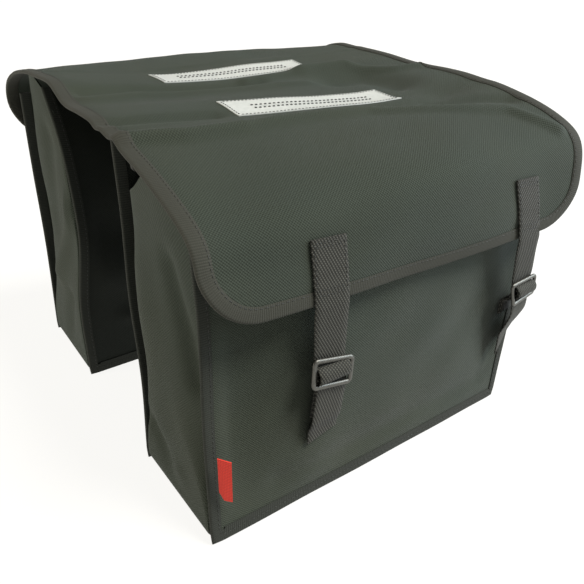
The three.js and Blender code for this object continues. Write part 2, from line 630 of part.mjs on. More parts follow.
// Straps: each hangs from its flap, runs through its buckle and ends in a free tail
function addStrap({ name, side, y, buckleZ, standoff, slant, tail, tabLow }) {
  const flap = side > 0 ? nearFlap : farFlap;
  const panel = side > 0 ? nearOuter : farOuter;
  const along = y + sheetHalf;
  const flapAt = (down, shift) => flap.place(down, along + shift).point;
  const top = flapAt(flap.height - flapCorner, 0);
  const skewed = flapAt(flap.height - 20, 12).sub(flapAt(flap.height - 20, -12));
  const group = new THREE.Group();
  group.position.set(top.x, y, top.z);
  const turn = Math.atan2(-skewed.x, skewed.y) + (side > 0 ? 0 : Math.PI);
  group.rotation.order = "ZXY";
  group.rotation.z = turn;
  group.rotation.x = THREE.MathUtils.degToRad(side * slant);
  part.add(group);

  const reach = (spot) => (spot.x - top.x) * Math.cos(turn) + (spot.y - y) * Math.sin(turn);
  const panelReach = (z) => {
    const shift = (top.z - z) * Math.sin(THREE.MathUtils.degToRad(slant)) * side;
    const mouth = panel.place(0, y + panelHalf).point.z;
    const down = (panel.height * (mouth - z)) / (mouth - footZ);
    const spots = [-15, 0, 15].map((step) => panel.place(down, y + shift + step + panelHalf).point);
    return Math.max(...spots.map(reach));
  };

  // Strap over the flap, then down behind, over and behind the buckle's bars
  const start = flap.height - flapCorner - 0.1;
  const lap = flap.downs.filter((down) => down > start);
  const profile = lap.map((down, i) => {
    const { point, normal } = flap.place(down, along);
    const overTape = i >= lap.length - 2 ? tape + gap : 0;
    const lift = cloth / 2 + gap + 0.5 + overTape + webbing / 2;
    const tip = point.addScaledVector(normal, lift);
    return new THREE.Vector2(reach(tip), tip.z - top.z);
  });
  const low = buckleZ - top.z;
  const face = panelReach(buckleZ) + standoff;
  const behind = -(buckle.thickness / 2 + gap + webbing / 2 + 0.2);
  const half = buckle.height / 2;
  const point = (out, rise) => new THREE.Vector2(face + out, low + rise);
  const hem = profile.at(-1).clone();
  const past = hem.clone().sub(profile.at(-2)).setLength(3).add(hem);
  profile.push(past, new THREE.Vector2(past.x * 0.8 + (face + behind) * 0.2, past.y - 10));
  const seat = (rise) => panelReach(buckleZ + rise) - face + cloth / 2 + gap + 0.6 + webbing / 2;
  const layer = webbing + gap + 0.1;
  const tailAt = (rise) => point(Math.max(behind, seat(rise) + 2 * layer + 0.3), rise);
  profile.push(point(behind, half + 5), point(behind, half - buckle.bar - 1));
  profile.push(point(1.6, 7.2), point(4.6, 3.6), point(4.6, -3.6), point(1.6, -7.2));
  profile.push(point(behind, buckle.bar + 1 - half), point(behind, -half - 1));
  profile.push(tailAt(-half - 12), tailAt(-half - 28), tailAt(-half - tail / 2 - 14), tailAt(-half - tail));
  addMesh(group, `${name}_strap`, ribbon(profile, webbing, webbingWidth), materials.webbing);

  const frame = addMesh(group, `${name}_buckle`, buckleFrame(), materials.metal);
  frame.position.set(face, 0, low);

  // Tab from the panel, looped round the middle bar and back onto itself
  const ring = buckle.thickness / 2 + gap + webbing / 2;
  const edge = buckle.bar / 2 + gap + webbing / 2;
  const bevel = 0.65;
  const [low1, high1] = [tabLow - buckleZ, tabLow + tabSewn - buckleZ];
  const under = behind - layer - 0.3;
  const tab = [
    point(seat(low1), low1), point(seat(high1), high1), point(under - layer, -9.5),
    point(-ring - 2.6, -4), point(-ring - 0.1, -0.6),
    point(-ring, edge - bevel), point(bevel - ring, edge), point(ring - bevel, edge),
    point(ring, edge - bevel), point(ring, bevel - edge), point(ring - bevel, -edge),
    point(-1, -edge), point(-ring - 0.6, -edge - 2.2), point(under, -10),
    point(seat(high1) + layer, high1 + 0.4), point(seat(low1) + layer, low1 + 2),
  ];
  addMesh(group, `${name}_buckle_tab`, ribbon(tab, webbing, webbingWidth - 2), materials.webbing);
}
strapRows.forEach(addStrap);

// Side label lying over the near bag's left front seam
const labelThickness = 1;
const labelPlace = (down, along) => {
  const place = nearOuter.place(down, Math.max(along, 0));
  place.point.y += Math.min(along, 0);
  return place;
};
const labelRows = [0, 0.5, 1].map((share) => nearOuter.height - 84 + 50 * share);
const label = gridSheet(labelPlace, labelRows, [-3, 4.5, 12], labelThickness,
  ribThickness / 2 + gap + labelThickness / 2);
addMesh(part, "side_label", label.geometry, materials.label);

// Standing centred over the origin
const box = new THREE.Box3().setFromObject(part);
const middle = box.getCenter(new THREE.Vector3());
part.position.set(-middle.x, -middle.y, -box.min.z);
const root = new THREE.Group();
root.add(part);

export default root;
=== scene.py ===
import math

import bpy
import numpy as np
from mathutils import Matrix, Vector


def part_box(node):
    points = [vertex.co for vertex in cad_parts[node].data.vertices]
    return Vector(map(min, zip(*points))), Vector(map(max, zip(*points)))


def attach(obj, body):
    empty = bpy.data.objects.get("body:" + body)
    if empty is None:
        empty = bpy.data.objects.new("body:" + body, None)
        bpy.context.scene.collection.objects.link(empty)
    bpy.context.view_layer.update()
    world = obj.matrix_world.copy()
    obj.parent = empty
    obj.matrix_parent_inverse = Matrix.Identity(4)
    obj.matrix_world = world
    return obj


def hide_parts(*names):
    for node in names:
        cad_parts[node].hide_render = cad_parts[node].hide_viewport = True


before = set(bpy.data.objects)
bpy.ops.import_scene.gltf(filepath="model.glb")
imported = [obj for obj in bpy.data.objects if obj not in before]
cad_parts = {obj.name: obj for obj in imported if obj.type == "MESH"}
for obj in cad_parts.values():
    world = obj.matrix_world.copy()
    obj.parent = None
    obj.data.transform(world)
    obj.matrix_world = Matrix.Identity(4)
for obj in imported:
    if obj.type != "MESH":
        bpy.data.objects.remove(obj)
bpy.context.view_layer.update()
scene = bpy.context.scene
print("frame loaded,", len(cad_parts), "nodes")

# sizes in mm along the drawing's axes: x across the rack, y along the bags, z up from the floor
drawing = {
    "shift": (10.527, 0.147, 0.086),  # from the drawing's axes to the frame's
    "cloth": 1.9,
    "sheetHalf": 195.0,
    "panelHalf": 179.9,
    "footZ": 10.1,
    "flapCorner": 45.0,
    "panelCorner": 3.0,
}

# lines along the top sheet: x, z at its left end, middle and right end
topLines = [
    (198, 206, 204, 208, 224, 226),   # near hem
    (190, 236, 204, 245, 219, 262),
    (174, 266, 191, 286, 203, 303),   # near bend
    (108, 290, 134, 304, 152, 324),
    (40, 304, 74, 311, 92, 334),      # near seam
    (-8, 308, 26, 317, 44, 337),
    (-48, 308, -26, 313, -8, 337),    # valley
    (-86, 319, -76, 319, -56, 340),
    (-140, 319, -120, 323, -98, 342),  # far seam
    (-206, 312, -184, 327, -150, 341),
    (-248, 286, -216, 292, -178, 308),
    (-240, 236, -214, 232, -184, 242),  # far hem
]
nearSeam, farSeam = 4, 8

# lines along the panels from the mouth down, each with the y of its two ends
foot = drawing["footZ"]
panelLines = {
    "nearOuter": [(166, 255, 185, 272, 192, 292, -179.5, 177), (171, 190, 194, 200, 196, 205, -177, 172),
                  (180, 100, 198, 105, 198, 105, -179, 168),
                  (196, foot, 200, foot, 201.5, foot, -182, 170.5)],
    "farOuter": [(-186, 292, -176, 302, -146, 322, -187, 180), (-195, 205, -188, 205, -166, 210, -184, 180),
                 (-196, 120, -191, 110, -180, 110, -182, 180),
                 (-192, foot, -190, foot, -187, foot, -184, 180)],
    "nearBack": [(48, 235, 72, 240, 88, 245, -179, 179), (59, 165, 76, 165, 84, 165, -182, 177),
                 (71, 90, 80, 90, 82, 90, -181.5, 175), (78, foot, 80, foot, 80, foot, -184, 174)],
    "farBack": [(-96, 252, -92, 250, -80, 255, -178, 180), (-71, 170, -78, 165, -70, 165, -180, 180),
                (-74, 90, -80, 90, -75, 90, -186, 180), (-76, foot, -80, foot, -80, foot, -184, 180)],
}


# a line's left end, middle and right end
def railOf(line, half):
    left, right = line[6:] or (-half, half)
    return [(line[0], left, line[1]), (line[2], (left + right) / 2, line[3]), (line[4], right, line[5])]


def toFrame(points):
    return (np.asarray(points, float) + np.array(drawing["shift"])) / 1000


# smooth curve through points, t counts them; the ends run on straight
def splineAt(points, t):
    points = np.asarray(points, float)
    t = np.asarray(t, float)
    run = np.concatenate([[2 * points[0] - points[1]], points, [2 * points[-1] - points[-2]]])
    i = np.clip(np.floor(t).astype(int), 0, len(points) - 2)
    w = (t - i).reshape((-1,) + (1,) * (points.ndim - 1))
    a, b, c, d = run[i], run[i + 1], run[i + 2], run[i + 3]
    return 0.5 * (2 * b + (c - a) * w + (2 * a - 5 * b + 4 * c - d) * w**2
                  + (3 * b - a - 3 * c + d) * w**3)


def pathLengths(points):
    steps = np.linalg.norm(np.diff(points, axis=0), axis=-1)
    return np.concatenate([np.zeros((1,) + steps.shape[1:]), np.cumsum(steps, axis=0)])


def unit(vectors):
    return vectors / np.maximum(np.linalg.norm(vectors, axis=-1, keepdims=True), 1e-9)


# nought to one with a soft start and end
def eased(share):
    share = np.clip(share, 0, 1)
    return share**2 * (3 - 2 * share)


# rows of a table read off at distances along its run
def readAlong(wanted, far, rows):
    return np.stack([np.interp(wanted, far, rows[:, k]) for k in range(rows.shape[1])], -1)


# soft creases and dents: each has a width, a height and the places (down, along) that it runs through
def foldRelief(down, along, folds):
    relief = np.zeros(np.broadcast(down, along).shape)
    for width, height, *places in folds:
        nearest = np.full(relief.shape, np.inf)
        for (downA, alongA), (downB, alongB) in zip(places, places[1:]):
            stepDown, stepAlong = downB - downA, alongB - alongA
            share = ((down - downA) * stepDown + (along - alongA) * stepAlong) / (stepDown**2 + stepAlong**2)
            share = np.clip(share, 0, 1)
            away = np.hypot(down - downA - share * stepDown, along - alongA - share * stepAlong)
            nearest = np.minimum(nearest, away)
        relief += height * np.exp(-(nearest / width) ** 2)
    return relief


# slow uneven waves of slack cloth, the same on every run; lengths in mm
waveLook = {"count": 9, "shortest": 38, "longest": 150, "evened": 2.2}


def slackWaves(down, along, height, seed):
    draw = np.random.default_rng(seed)
    relief = np.zeros(np.broadcast(down, along).shape)
    for _ in range(waveLook["count"]):
        turn, wave = draw.uniform(0, math.tau), draw.uniform(waveLook["shortest"], waveLook["longest"])
        phase = draw.uniform(0, math.tau)
        place = down * math.cos(turn) + along * math.sin(turn)
        relief += np.sin(math.tau * place / wave + phase) * wave / waveLook["longest"]
    return height * relief / waveLook["evened"]


# normals of a table of points, on the side that faces the given way
def tableNormals(table, facing):
    normals = unit(np.cross(np.gradient(table, axis=0), np.gradient(table, axis=1)))
    return normals * np.sign((normals * facing).sum(-1))[..., None]


# surface between two of the lines, as a table of points with its normals; sags fade out low down
tableLook = {"along": 261, "across": 201, "fine": 40, "sagFrom": 100, "sagRun": 150}


def makeSheet(lines, half, first, last, facing, folds=(), slack=0.0, seed=1, still=(0, 0, 0), sags=()):
    stations = np.array([railOf(line, half) for line in lines], float)
    alongCount, acrossCount, fine = tableLook["along"], tableLook["across"], tableLook["fine"]
    rails = splineAt(stations.transpose(1, 0, 2), np.linspace(0, 2, alongCount))
    curve = splineAt(rails.transpose(1, 0, 2), np.linspace(0, len(lines) - 1, fine * (len(lines) - 1) + 1))
    lengths = pathLengths(curve)
    columns = []
    for j in range(alongCount):
        wanted = np.linspace(lengths[fine * first, j], lengths[fine * last, j], acrossCount)
        columns.append(readAlong(wanted, lengths[:, j], curve[:, j]))
    table = np.stack(columns, 1)
    for x, y, reachX, reachY, drop in sags:
        high = np.clip((table[..., 2] - tableLook["sagFrom"]) / tableLook["sagRun"], 0, 1)
        away = ((table[..., 0] - x) / reachX) ** 2 + ((table[..., 1] - y) / reachY) ** 2
        table[..., 2] -= drop * high * np.exp(-away)
    sheet = {"height": float(pathLengths(table[:, alongCount // 2])[-1]), "width": 2 * half}
    down = np.linspace(0, sheet["height"], acrossCount)[:, None]
    along = np.linspace(0, sheet["width"], alongCount)[None, :]
    relief = foldRelief(down, along, folds) + slackWaves(down, along, slack, seed)
    ends = np.minimum(along, sheet["width"] - along)
    for away, reach in zip((down, sheet["height"] - down, ends), still):  # sewn edges lie still
        relief = relief * (eased(away / reach) if reach else 1)
    table += tableNormals(table, facing) * relief[..., None]
    sheet["table"], sheet["normals"] = table, tableNormals(table, facing)
    return sheet


# points and normals at places down and along a sheet
def onSheet(sheet, down, along):
    table, normals = sheet["table"], sheet["normals"]
    rows, columns = table.shape[:2]
    down, along = np.broadcast_arrays(np.asarray(down, float), np.asarray(along, float))
    x = np.clip(down / sheet["height"], 0, 1) * (rows - 1)
    y = np.clip(along / sheet["width"], 0, 1) * (columns - 1)
    i, j = np.minimum(x.astype(int), rows - 2), np.minimum(y.astype(int), columns - 2)
    u, v = (x - i)[..., None], (y - j)[..., None]

    def mix(t):
        left, right = [t[i, c] * (1 - u) + t[i + 1, c] * u for c in (j, j + 1)]
        return left * (1 - v) + right * v
    return mix(table), unit(mix(normals))


# materials
def toLinear(hexColour):
    parts = [int(hexColour[i:i + 2], 16) / 255 for i in (1, 3, 5)]
    return [p / 12.92 if p <= 0.04045 else ((p + 0.055) / 1.055) ** 2.4 for p in parts] + [1.0]


# one node with its settings and links; an input is a value, a socket or a node's first output
def addNode(tree, kind, inputs=None, **settings):
    made = tree.nodes.new("ShaderNode" + kind)
    for key, value in settings.items():
        setattr(made, key, value)
    for key, value in (inputs or {}).items():
        if isinstance(value, bpy.types.Node):
            value = value.outputs[0]
        if isinstance(value, bpy.types.NodeSocket):
            tree.links.new(value, made.inputs[key])
        else:
            made.inputs[key].default_value = value
    return made


def startMaterial(name, look):
    material = bpy.data.materials.new(name)
    material.use_nodes = True
    shader = material.node_tree.nodes["Principled BSDF"]
    shader.inputs["Roughness"].default_value = look["roughness"]
    shader.inputs["Metallic"].default_value = look.get("metallic", 0.0)
    shader.inputs["Sheen Weight"].default_value = look.get("sheen", 0.0)
    shader.inputs["Sheen Roughness"].default_value = 0.45
    shader.inputs["Specular IOR Level"].default_value = look.get("specular", 0.5)
    return material, material.node_tree, shader


# colour and fine relief into the shader
def dress(tree, shader, look, colour, height):
    relief = {"Height": height, "Strength": look["bump"], "Distance": look["bumpMm"] / 1000}
    bump = addNode(tree, "Bump", relief)
    tree.links.new(colour, shader.inputs["Base Color"])
    tree.links.new(bump.outputs[0], shader.inputs["Normal"])


# woven canvas, coated on the back: matt yarns with small shaded gaps between them.
# The real thread is about 0.6 mm; it is drawn coarser so that it shows at this picture size.
def canvasMaterial(name, look):
    material, tree, shader = startMaterial(name, look)
    mm = addNode(tree, "UVMap", uv_map="clothMm")
    split = addNode(tree, "SeparateXYZ", {0: mm})
    yarns = []
    for side in ("X", "Y"):
        across = {0: split.outputs[side], 1: math.pi / look["thread"]}
        turn = addNode(tree, "Math", across, operation="MULTIPLY")
        yarns.append(addNode(tree, "Math", {0: turn}, operation="SINE"))
    weave = addNode(tree, "Math", {0: yarns[0], 1: yarns[1]}, operation="MULTIPLY")
    uneven = {"Vector": mm, "Scale": 1 / look["slub"], "Detail": 3.0, "Roughness": 0.7}
    slub = addNode(tree, "TexNoise", uneven)
    place = addNode(tree, "TexCoord").outputs["Object"]
    patches = addNode(tree, "TexNoise", {"Vector": place, "Scale": 1000 / look["patch"], "Detail": 2.0})
    tones = {0: patches, 6: toLinear(look["cool"]), 7: toLinear(look["warm"])}
    tone = addNode(tree, "Mix", tones, data_type="RGBA")
    threads = addNode(tree, "Math", {0: weave, 1: look["contrast"], 2: 0.5}, operation="MULTIPLY_ADD")
    grain = addNode(tree, "Math", {0: slub, 1: look["grain"], 2: threads}, operation="MULTIPLY_ADD")
    shades = {0: grain, 1: 0.0, 2: 1.0 + look["grain"], 3: look["low"], 4: look["high"]}
    shade = addNode(tree, "MapRange", shades)
    colour = addNode(tree, "VectorMath", {0: tone.outputs[2], "Scale": shade}, operation="SCALE")
    dress(tree, shader, look, colour.outputs[0], grain)
    return material


# ribbed or twilled narrow weave: raised ribs in rows, each broken up along its length, coloured darker in the
# hollows as painted shade.
# Ribs and picks are drawn about twice as coarse as real ones so that they show.
def narrowWeaveMaterial(name, look):
    material, tree, shader = startMaterial(name, look)
    mm = addNode(tree, "UVMap", uv_map="clothMm")
    waves = []
    for direction, spacing in ((look["rib"], look["ribMm"]), (look["pick"], look["pickMm"])):
        along = addNode(tree, "VectorMath", {0: mm, 1: (*direction, 0.0)}, operation="DOT_PRODUCT")
        turn = addNode(tree, "Math", {0: along.outputs["Value"], 1: math.tau / spacing}, operation="MULTIPLY")
        waves.append(addNode(tree, "Math", {0: turn}, operation="SINE"))
    rib = addNode(tree, "Math", {0: waves[0], 1: 0.5, 2: 0.5}, operation="MULTIPLY_ADD")
    depth = look["pickDepth"]
    pick = addNode(tree, "Math", {0: waves[1], 1: depth, 2: 1 - depth}, operation="MULTIPLY_ADD")
    height = addNode(tree, "Math", {0: rib, 1: pick}, operation="MULTIPLY")
    fuzz = addNode(tree, "TexNoise", {"Vector": mm, "Scale": look["fuzzPerMm"], "Detail": 2.0})
    # painted shade: the colour follows the ribs' height, darker in the hollows, with a random fuzz of tone
    ribShadeAndFuzz = addNode(tree, "Math", {0: fuzz, 1: look["fuzz"], 2: height}, operation="MULTIPLY_ADD")
    tones = {0: ribShadeAndFuzz, 6: toLinear(look["low"]), 7: toLinear(look["high"])}
    mixed = addNode(tree, "Mix", tones, data_type="RGBA", clamp_factor=True)
    dress(tree, shader, look, mixed.outputs[2], height)
    return material


# one finish with a fine mottle: satin metal, glass-bead sheet, thread
def mottledMaterial(name, look):
    material, tree, shader = startMaterial(name, look)
    place = addNode(tree, "TexCoord").outputs["Object"]
    mottle = addNode(tree, "TexNoise", {"Vector": place, "Scale": 1000 / look["mottleMm"], "Detail": 3.0})
    tones = {0: mottle, 6: toLinear(look["low"]), 7: toLinear(look["high"])}
    mixed = addNode(tree, "Mix", tones, data_type="RGBA")
    least, most = look["roughness"] - look["uneven"], look["roughness"] + look["uneven"]
    rough = addNode(tree, "MapRange", {0: mottle, 3: least, 4: most})
    tree.links.new(rough.outputs[0], shader.inputs["Roughness"])
    dress(tree, shader, look, mixed.outputs[2], mottle)
    return material


# plain-woven cotton canvas: dull green-grey with a speckled grain
canvasLook = {"thread": 1.2, "slub": 1.7, "patch": 150, "grain": 0.9, "low": 0.4, "high": 1.6,
              "specular": 0.15, "bumpMm": 0.4}
canvas = canvasMaterial("coated canvas", {
    **canvasLook, "cool": "#2e352f", "warm": "#2f3226", "contrast": 0.55, "roughness": 0.86, "sheen": 0.065,
    "bump": 0.8})
# the same cloth on the sides towards the wheel, its colour painted darker for the shade between the bags, and
# flatter
shadedBackCanvas = canvasMaterial("wheel-side canvas with painted shade", {
    **canvasLook, "cool": "#1b1f1b", "warm": "#1c1e17", "contrast": 0.5, "roughness": 0.8, "sheen": 0.02,
    "bump": 0.6})

# woven tapes: fine dull ribs across their length
weaveLook = {"rib": (1.0, 0.0), "pick": (0.0, 1.0), "fuzzPerMm": 0.9, "sheen": 0.03, "specular": 0.2,
             "bump": 0.4, "bumpMm": 0.5}
edgeTape = narrowWeaveMaterial("grosgrain edge tape", {
    **weaveLook, "ribMm": 1.8, "pickMm": 1.4, "pickDepth": 0.15, "fuzz": 0.7,
    "low": "#272821", "high": "#34342d", "roughness": 0.85})
# darker than the canvas: painted shade for the standing seam ribs
seamTape = narrowWeaveMaterial("folded seam tape", {
    **weaveLook, "ribMm": 1.9, "pickMm": 1.3, "pickDepth": 0.2, "fuzz": 0.4,
    "low": "#1f211c", "high": "#2d2f29", "roughness": 0.88})
# twilled strap: slanting furrows painted dark as shade between paler ridges
twillWebbing = narrowWeaveMaterial("twill webbing", {
    **weaveLook, "rib": (0.89, -0.45), "ribMm": 2.3, "pick": (0.45, 0.89), "pickMm": 2.0, "pickDepth": 0.4,
    "fuzz": 0.2, "low": "#0c0d09", "high": "#494840", "roughness": 0.8, "specular": 0.25, "bump": 0.8})
# woven ribbon: bright red with a faint rib down its length
redRibbon = narrowWeaveMaterial("woven label ribbon", {
    **weaveLook, "rib": (0.0, 1.0), "ribMm": 1.6, "pick": (1.0, 0.0), "pickMm": 1.6, "pickDepth": 0.3,
    "fuzz": 0.4, "low": "#95170e", "high": "#c73624", "roughness": 0.7, "sheen": 0.05, "specular": 0.25,
    "bump": 0.3})

# plated and tumbled: a soft grey gloss; beads in resin: an even pale silver; spun thread: dark and dull
mottleLook = {"uneven": 0.08, "bumpMm": 0.2}
satinNickel = mottledMaterial("satin nickel", {
    **mottleLook, "low": "#504f4b", "high": "#6d6c66", "mottleMm": 3, "roughness": 0.48, "metallic": 1.0,
    "bump": 0.12})
beadSheet = mottledMaterial("glass-bead reflective sheet", {
    **mottleLook, "low": "#a5a8a3", "high": "#c1c2bc", "mottleMm": 4, "roughness": 0.42, "bump": 0.25})
darkThread = mottledMaterial("polyester thread", {
    **mottleLook, "low": "#10120b", "high": "#22231d", "mottleMm": 2, "roughness": 0.6, "bump": 0.3})
print("materials made")


# meshes
def addPiece(name, points, faces, uvs, material, slotName, replaced=(), sharp=42):
    used, renumbered = np.unique(np.concatenate([np.ravel(f) for f in faces]), return_inverse=True)
    splits = np.cumsum([len(f) for f in faces])[:-1]
    mesh = bpy.data.meshes.new(name)
    mesh.from_pydata(toFrame(points[used]).tolist(), [], [f.tolist() for f in np.split(renumbered, splits)])
    corners = np.empty(len(mesh.loops), np.int32)
    mesh.loops.foreach_get("vertex_index", corners)
    layer = mesh.uv_layers.new(name="clothMm")
    layer.data.foreach_set("uv", uvs[used][corners].astype(np.float32).ravel())
    mesh.polygons.foreach_set("use_smooth", np.ones(len(mesh.polygons), bool))
    mesh.set_sharp_from_angle(angle=math.radians(sharp))
    mesh.materials.append(material)
    piece = bpy.data.objects.new(name, mesh)
    scene.collection.objects.link(piece)
    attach(piece, "root")
    if replaced:
        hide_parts(*replaced)
    return piece


# cloth of even thickness about a net of places; keep leaves out cells, as at a slit
def addCloth(name, net, normals, uvs, thickness, material, slotName, replaced, keep=None):
    rows, columns = net.shape[:2]
    number = np.arange(rows * columns).reshape(rows, columns)
    cells = np.stack([number[:-1, :-1], number[1:, :-1], number[1:, 1:], number[:-1, 1:]], -1)
    cells = cells.reshape(-1, 4) if keep is None else cells[keep]
    middle = cells[len(cells) // 2]
    flatNet, flatNormals = net.reshape(-1, 3), normals.reshape(-1, 3)
    faced = np.cross(flatNet[middle[1]] - flatNet[middle[0]], flatNet[middle[2]] - flatNet[middle[0]])
    if faced @ flatNormals[middle[0]] < 0:
        cells = cells[:, ::-1]
    count = rows * columns
    edges = np.concatenate([cells[:, [k, (k + 1) % 4]] for k in range(4)])
    known = set(map(tuple, edges.tolist()))
    rim = np.array([e for e in edges.tolist() if (e[1], e[0]) not in known])
    walls = np.stack([rim[:, 1], rim[:, 0], rim[:, 0] + count, rim[:, 1] + count], -1)
    points = np.concatenate([flatNet + flatNormals * thickness / 2, flatNet - flatNormals * thickness / 2])
    faces = np.concatenate([cells, cells[:, ::-1] + count, walls])
    doubled = np.concatenate([uvs.reshape(-1, 2)] * 2)
    return addPiece(name, points, list(faces), doubled, material, slotName, replaced)


# solid swept through matching closed sections; bare metal needs no uvs
def addSweep(name, sections, uvs, material, slotName, replaced=(), ring=False, sharp=42):
    stations, size = sections.shape[:2]
    number = np.arange(stations * size).reshape(stations, size)
    after = np.roll(number, -1, axis=0) if ring else number[1:]
    before = number if ring else number[:-1]
    faces = np.stack([before, np.roll(before, -1, 1), np.roll(after, -1, 1), after], -1).reshape(-1, 4)
    flat = sections.reshape(-1, 3)
    centre = flat - np.repeat(sections.mean(1), size, 0)
    faced = np.cross(flat[faces[:, 1]] - flat[faces[:, 0]], flat[faces[:, 3]] - flat[faces[:, 0]])
    turned = (faced * centre[faces[:, 0]]).sum() < 0
    faces = list(faces[:, ::-1] if turned else faces)
    if not ring:
        caps = [number[0][::-1], number[-1]]
        faces += [c[::-1] for c in caps] if turned else caps
    uvs = np.zeros((len(flat), 2)) if uvs is None else uvs.reshape(-1, 2)
    return addPiece(name, flat, faces, uvs, material, slotName, replaced, sharp)


# sewing stitches, each a short thread that dips into the cloth at both ends: share, swell and lift
stitchShape = [(0.0, 0.35, -0.5), (0.22, 1.0, 0.35), (0.78, 1.0, 0.35), (1.0, 0.35, -0.5)]


def addStitches(name, starts, ends, normals, thread, material, slotName):
    reach, size = unit(ends - starts), 6
    side = unit(np.cross(reach, normals))
    turns = np.arange(size) / size * math.tau
    rings = []
    for share, swell, lift in stitchShape:
        middle = starts + (ends - starts) * share + normals * lift * thread
        ring = [middle + (side * math.cos(t) + normals * 0.7 * math.sin(t)) * swell * thread for t in turns]
        rings.append(np.stack(ring, 1))
    points = np.stack(rings, 1).reshape(-1, 3)
    one = np.arange(4 * size).reshape(4, size)
    beside = np.roll(one, -1, 1)
    quads = np.stack([one[:-1], beside[:-1], beside[1:], one[1:]], -1).reshape(-1, 4)
    faces = []
    for k in range(len(starts)):
        shift = k * 4 * size
        faces += list(quads[:, ::-1] + shift)
        faces += [one[0] + shift, one[3][::-1] + shift]
    uvs = np.tile(np.linspace(0, 3, 4 * size)[:, None], (len(starts), 2))
    addPiece(name, points, faces, uvs, material, slotName, sharp=80)


# places for stitches along a run of points with normals: (starts, ends, normals)
def stitchRun(points, normals, length, pitch):
    far = pathLengths(points)
    begins = np.arange(pitch * 0.3, far[-1] - length, pitch)
    starts, ends = readAlong(begins, far, points), readAlong(begins + length, far, points)
    return starts, ends, unit(readAlong(begins + length / 2, far, normals))


def joinRuns(runs):
    return [np.concatenate(parts) for parts in zip(*runs)]


def clothUv(down, along):
    return np.stack(np.broadcast_arrays(along, down), -1)


# cloth along a sheet, lifted where it lies on another cloth
def coverSheet(name, sheet, down, along, material, slotName, replaced, keep=None, lift=0.0, thickness=None):
    net, normals = onSheet(sheet, down, along)
    return addCloth(name, net + normals * lift, normals, clothUv(down, along), thickness or drawing["cloth"],
                    material, slotName, replaced, keep)


# net of a sheet with a straight top and two rounded lower corners
def roundedNet(sheet, corner, rows, columns, cornerRows):
    turns = np.linspace(0, math.pi / 2, cornerRows + 1)[1:]
    low = sheet["height"] - corner
    down = np.concatenate([np.linspace(0, low, rows + 1), low + corner * np.sin(turns)])
    inset = np.concatenate([np.zeros(rows + 1), corner * (1 - np.cos(turns))])[:, None]
    along = inset + (sheet["width"] - 2 * inset) * np.linspace(0, 1, columns + 1)[None, :]
    return np.broadcast_to(down[:, None], along.shape), along


# edge of that sheet from its top left round to its top right: places and the way out of the sheet
def sheetEdge(sheet, corner, start=(0.0, 0.0), sideStep=4.0, bottomStep=4.0, cornerSteps=14):
    height, width = sheet["height"], sheet["width"]
    low = height - corner
    turns = np.linspace(0, math.pi / 2, cornerSteps + 1)
    bend = [(low + corner * math.sin(t), corner * (1 - math.cos(t)), math.sin(t), math.cos(t)) for t in turns]
    left, right = [np.arange(s, low - sideStep / 2, sideStep) for s in start]
    bottom = np.linspace(corner, width - corner, int((width - 2 * corner) / bottomStep))[1:-1]
    rows = [(down, 0.0, 0.0, -1.0) for down in left]
    rows += [(down, inset, under, -aside) for down, inset, under, aside in bend]
    rows += [(height, along, 1.0, 0.0) for along in bottom]
    rows += [(down, width - inset, under, aside) for down, inset, under, aside in bend[::-1]]
    rows += [(down, width, 0.0, 1.0) for down in right[::-1]]
    return np.array(rows)


# points off an edge: inset is into the sheet, and below nought it runs out past the edge
def offEdge(sheet, edge, inset, lift):
    inside = max(inset, 0.0)
    point, normal = onSheet(sheet, edge[:, 0] - edge[:, 2] * inside, edge[:, 1] - edge[:, 3] * inside)
    if inset < 0:
        near, _ = onSheet(sheet, edge[:, 0] - edge[:, 2] * 3, edge[:, 1] - edge[:, 3] * 3)
        outward = unit(point - near)
        point = point - outward * inset
    return point + normal * lift, normal


# tape swept through matching loops round an edge, and its row of stitches
def addTape(name, sections, loop, material, replaced, sewn, look):
    run = pathLengths(sections.mean(1))
    across = np.cumsum([0.0] + [math.dist(a, b) for a, b in zip(loop, loop[1:])])
    uvs = clothUv(across[None, :], run[:, None])
    addSweep(name, sections, uvs, material, "tape", replaced, sharp=60)
    stitches = stitchRun(*sewn, look["stitch"], look["pitch"])
    addStitches(name + "_stitching", *stitches, look["thread"], darkThread, "tape")


# folded tape over a cloth edge: two lips joined by a rounded fold
def addBinding(name, sheet, edge, look, replaced):
    wide, under = look["width"], drawing["cloth"] / 2 + look["gap"]
    fold = under + look["tape"]
    # in from the edge, and height over the cloth's middle
    upper = [(wide, under), (wide + 0.2, under + look["tape"] * 0.6), (wide - 0.6, fold),
             (wide / 2, fold + look["puff"]), (1.2, fold), (-0.4, fold * 0.92), (-1.1, fold * 0.45),
             (-1.3, 0.0)]
    lower = [(w, -h) for w, h in upper[-2:0:-1]]
    inner = [(wide, -under), (0.6, -under), (-0.15, -under * 0.5), (-0.15, under * 0.5), (0.6, under)]
    loop = upper + lower + inner
    sections = np.stack([offEdge(sheet, edge, w, h)[0] for w, h in loop], 1)
    sewn = offEdge(sheet, edge, wide - look["stitchIn"], fold + look["gap"])
    addTape(name, sections, loop, edgeTape, replaced, sewn, look)


# section of a flat band with a round outer edge: out from its start, and height
def roundedBand(width, thickness, start):
    r = thickness / 2
    turns = np.linspace(-math.pi / 2, math.pi / 2, 7)
    tip = [(start + width - r + r * math.cos(t), r * math.sin(t)) for t in turns]
    steps = np.linspace(start, start + width - r, 4)[:-1]
    return [(s, -r) for s in steps] + tip + [(s, r) for s in steps[::-1]]


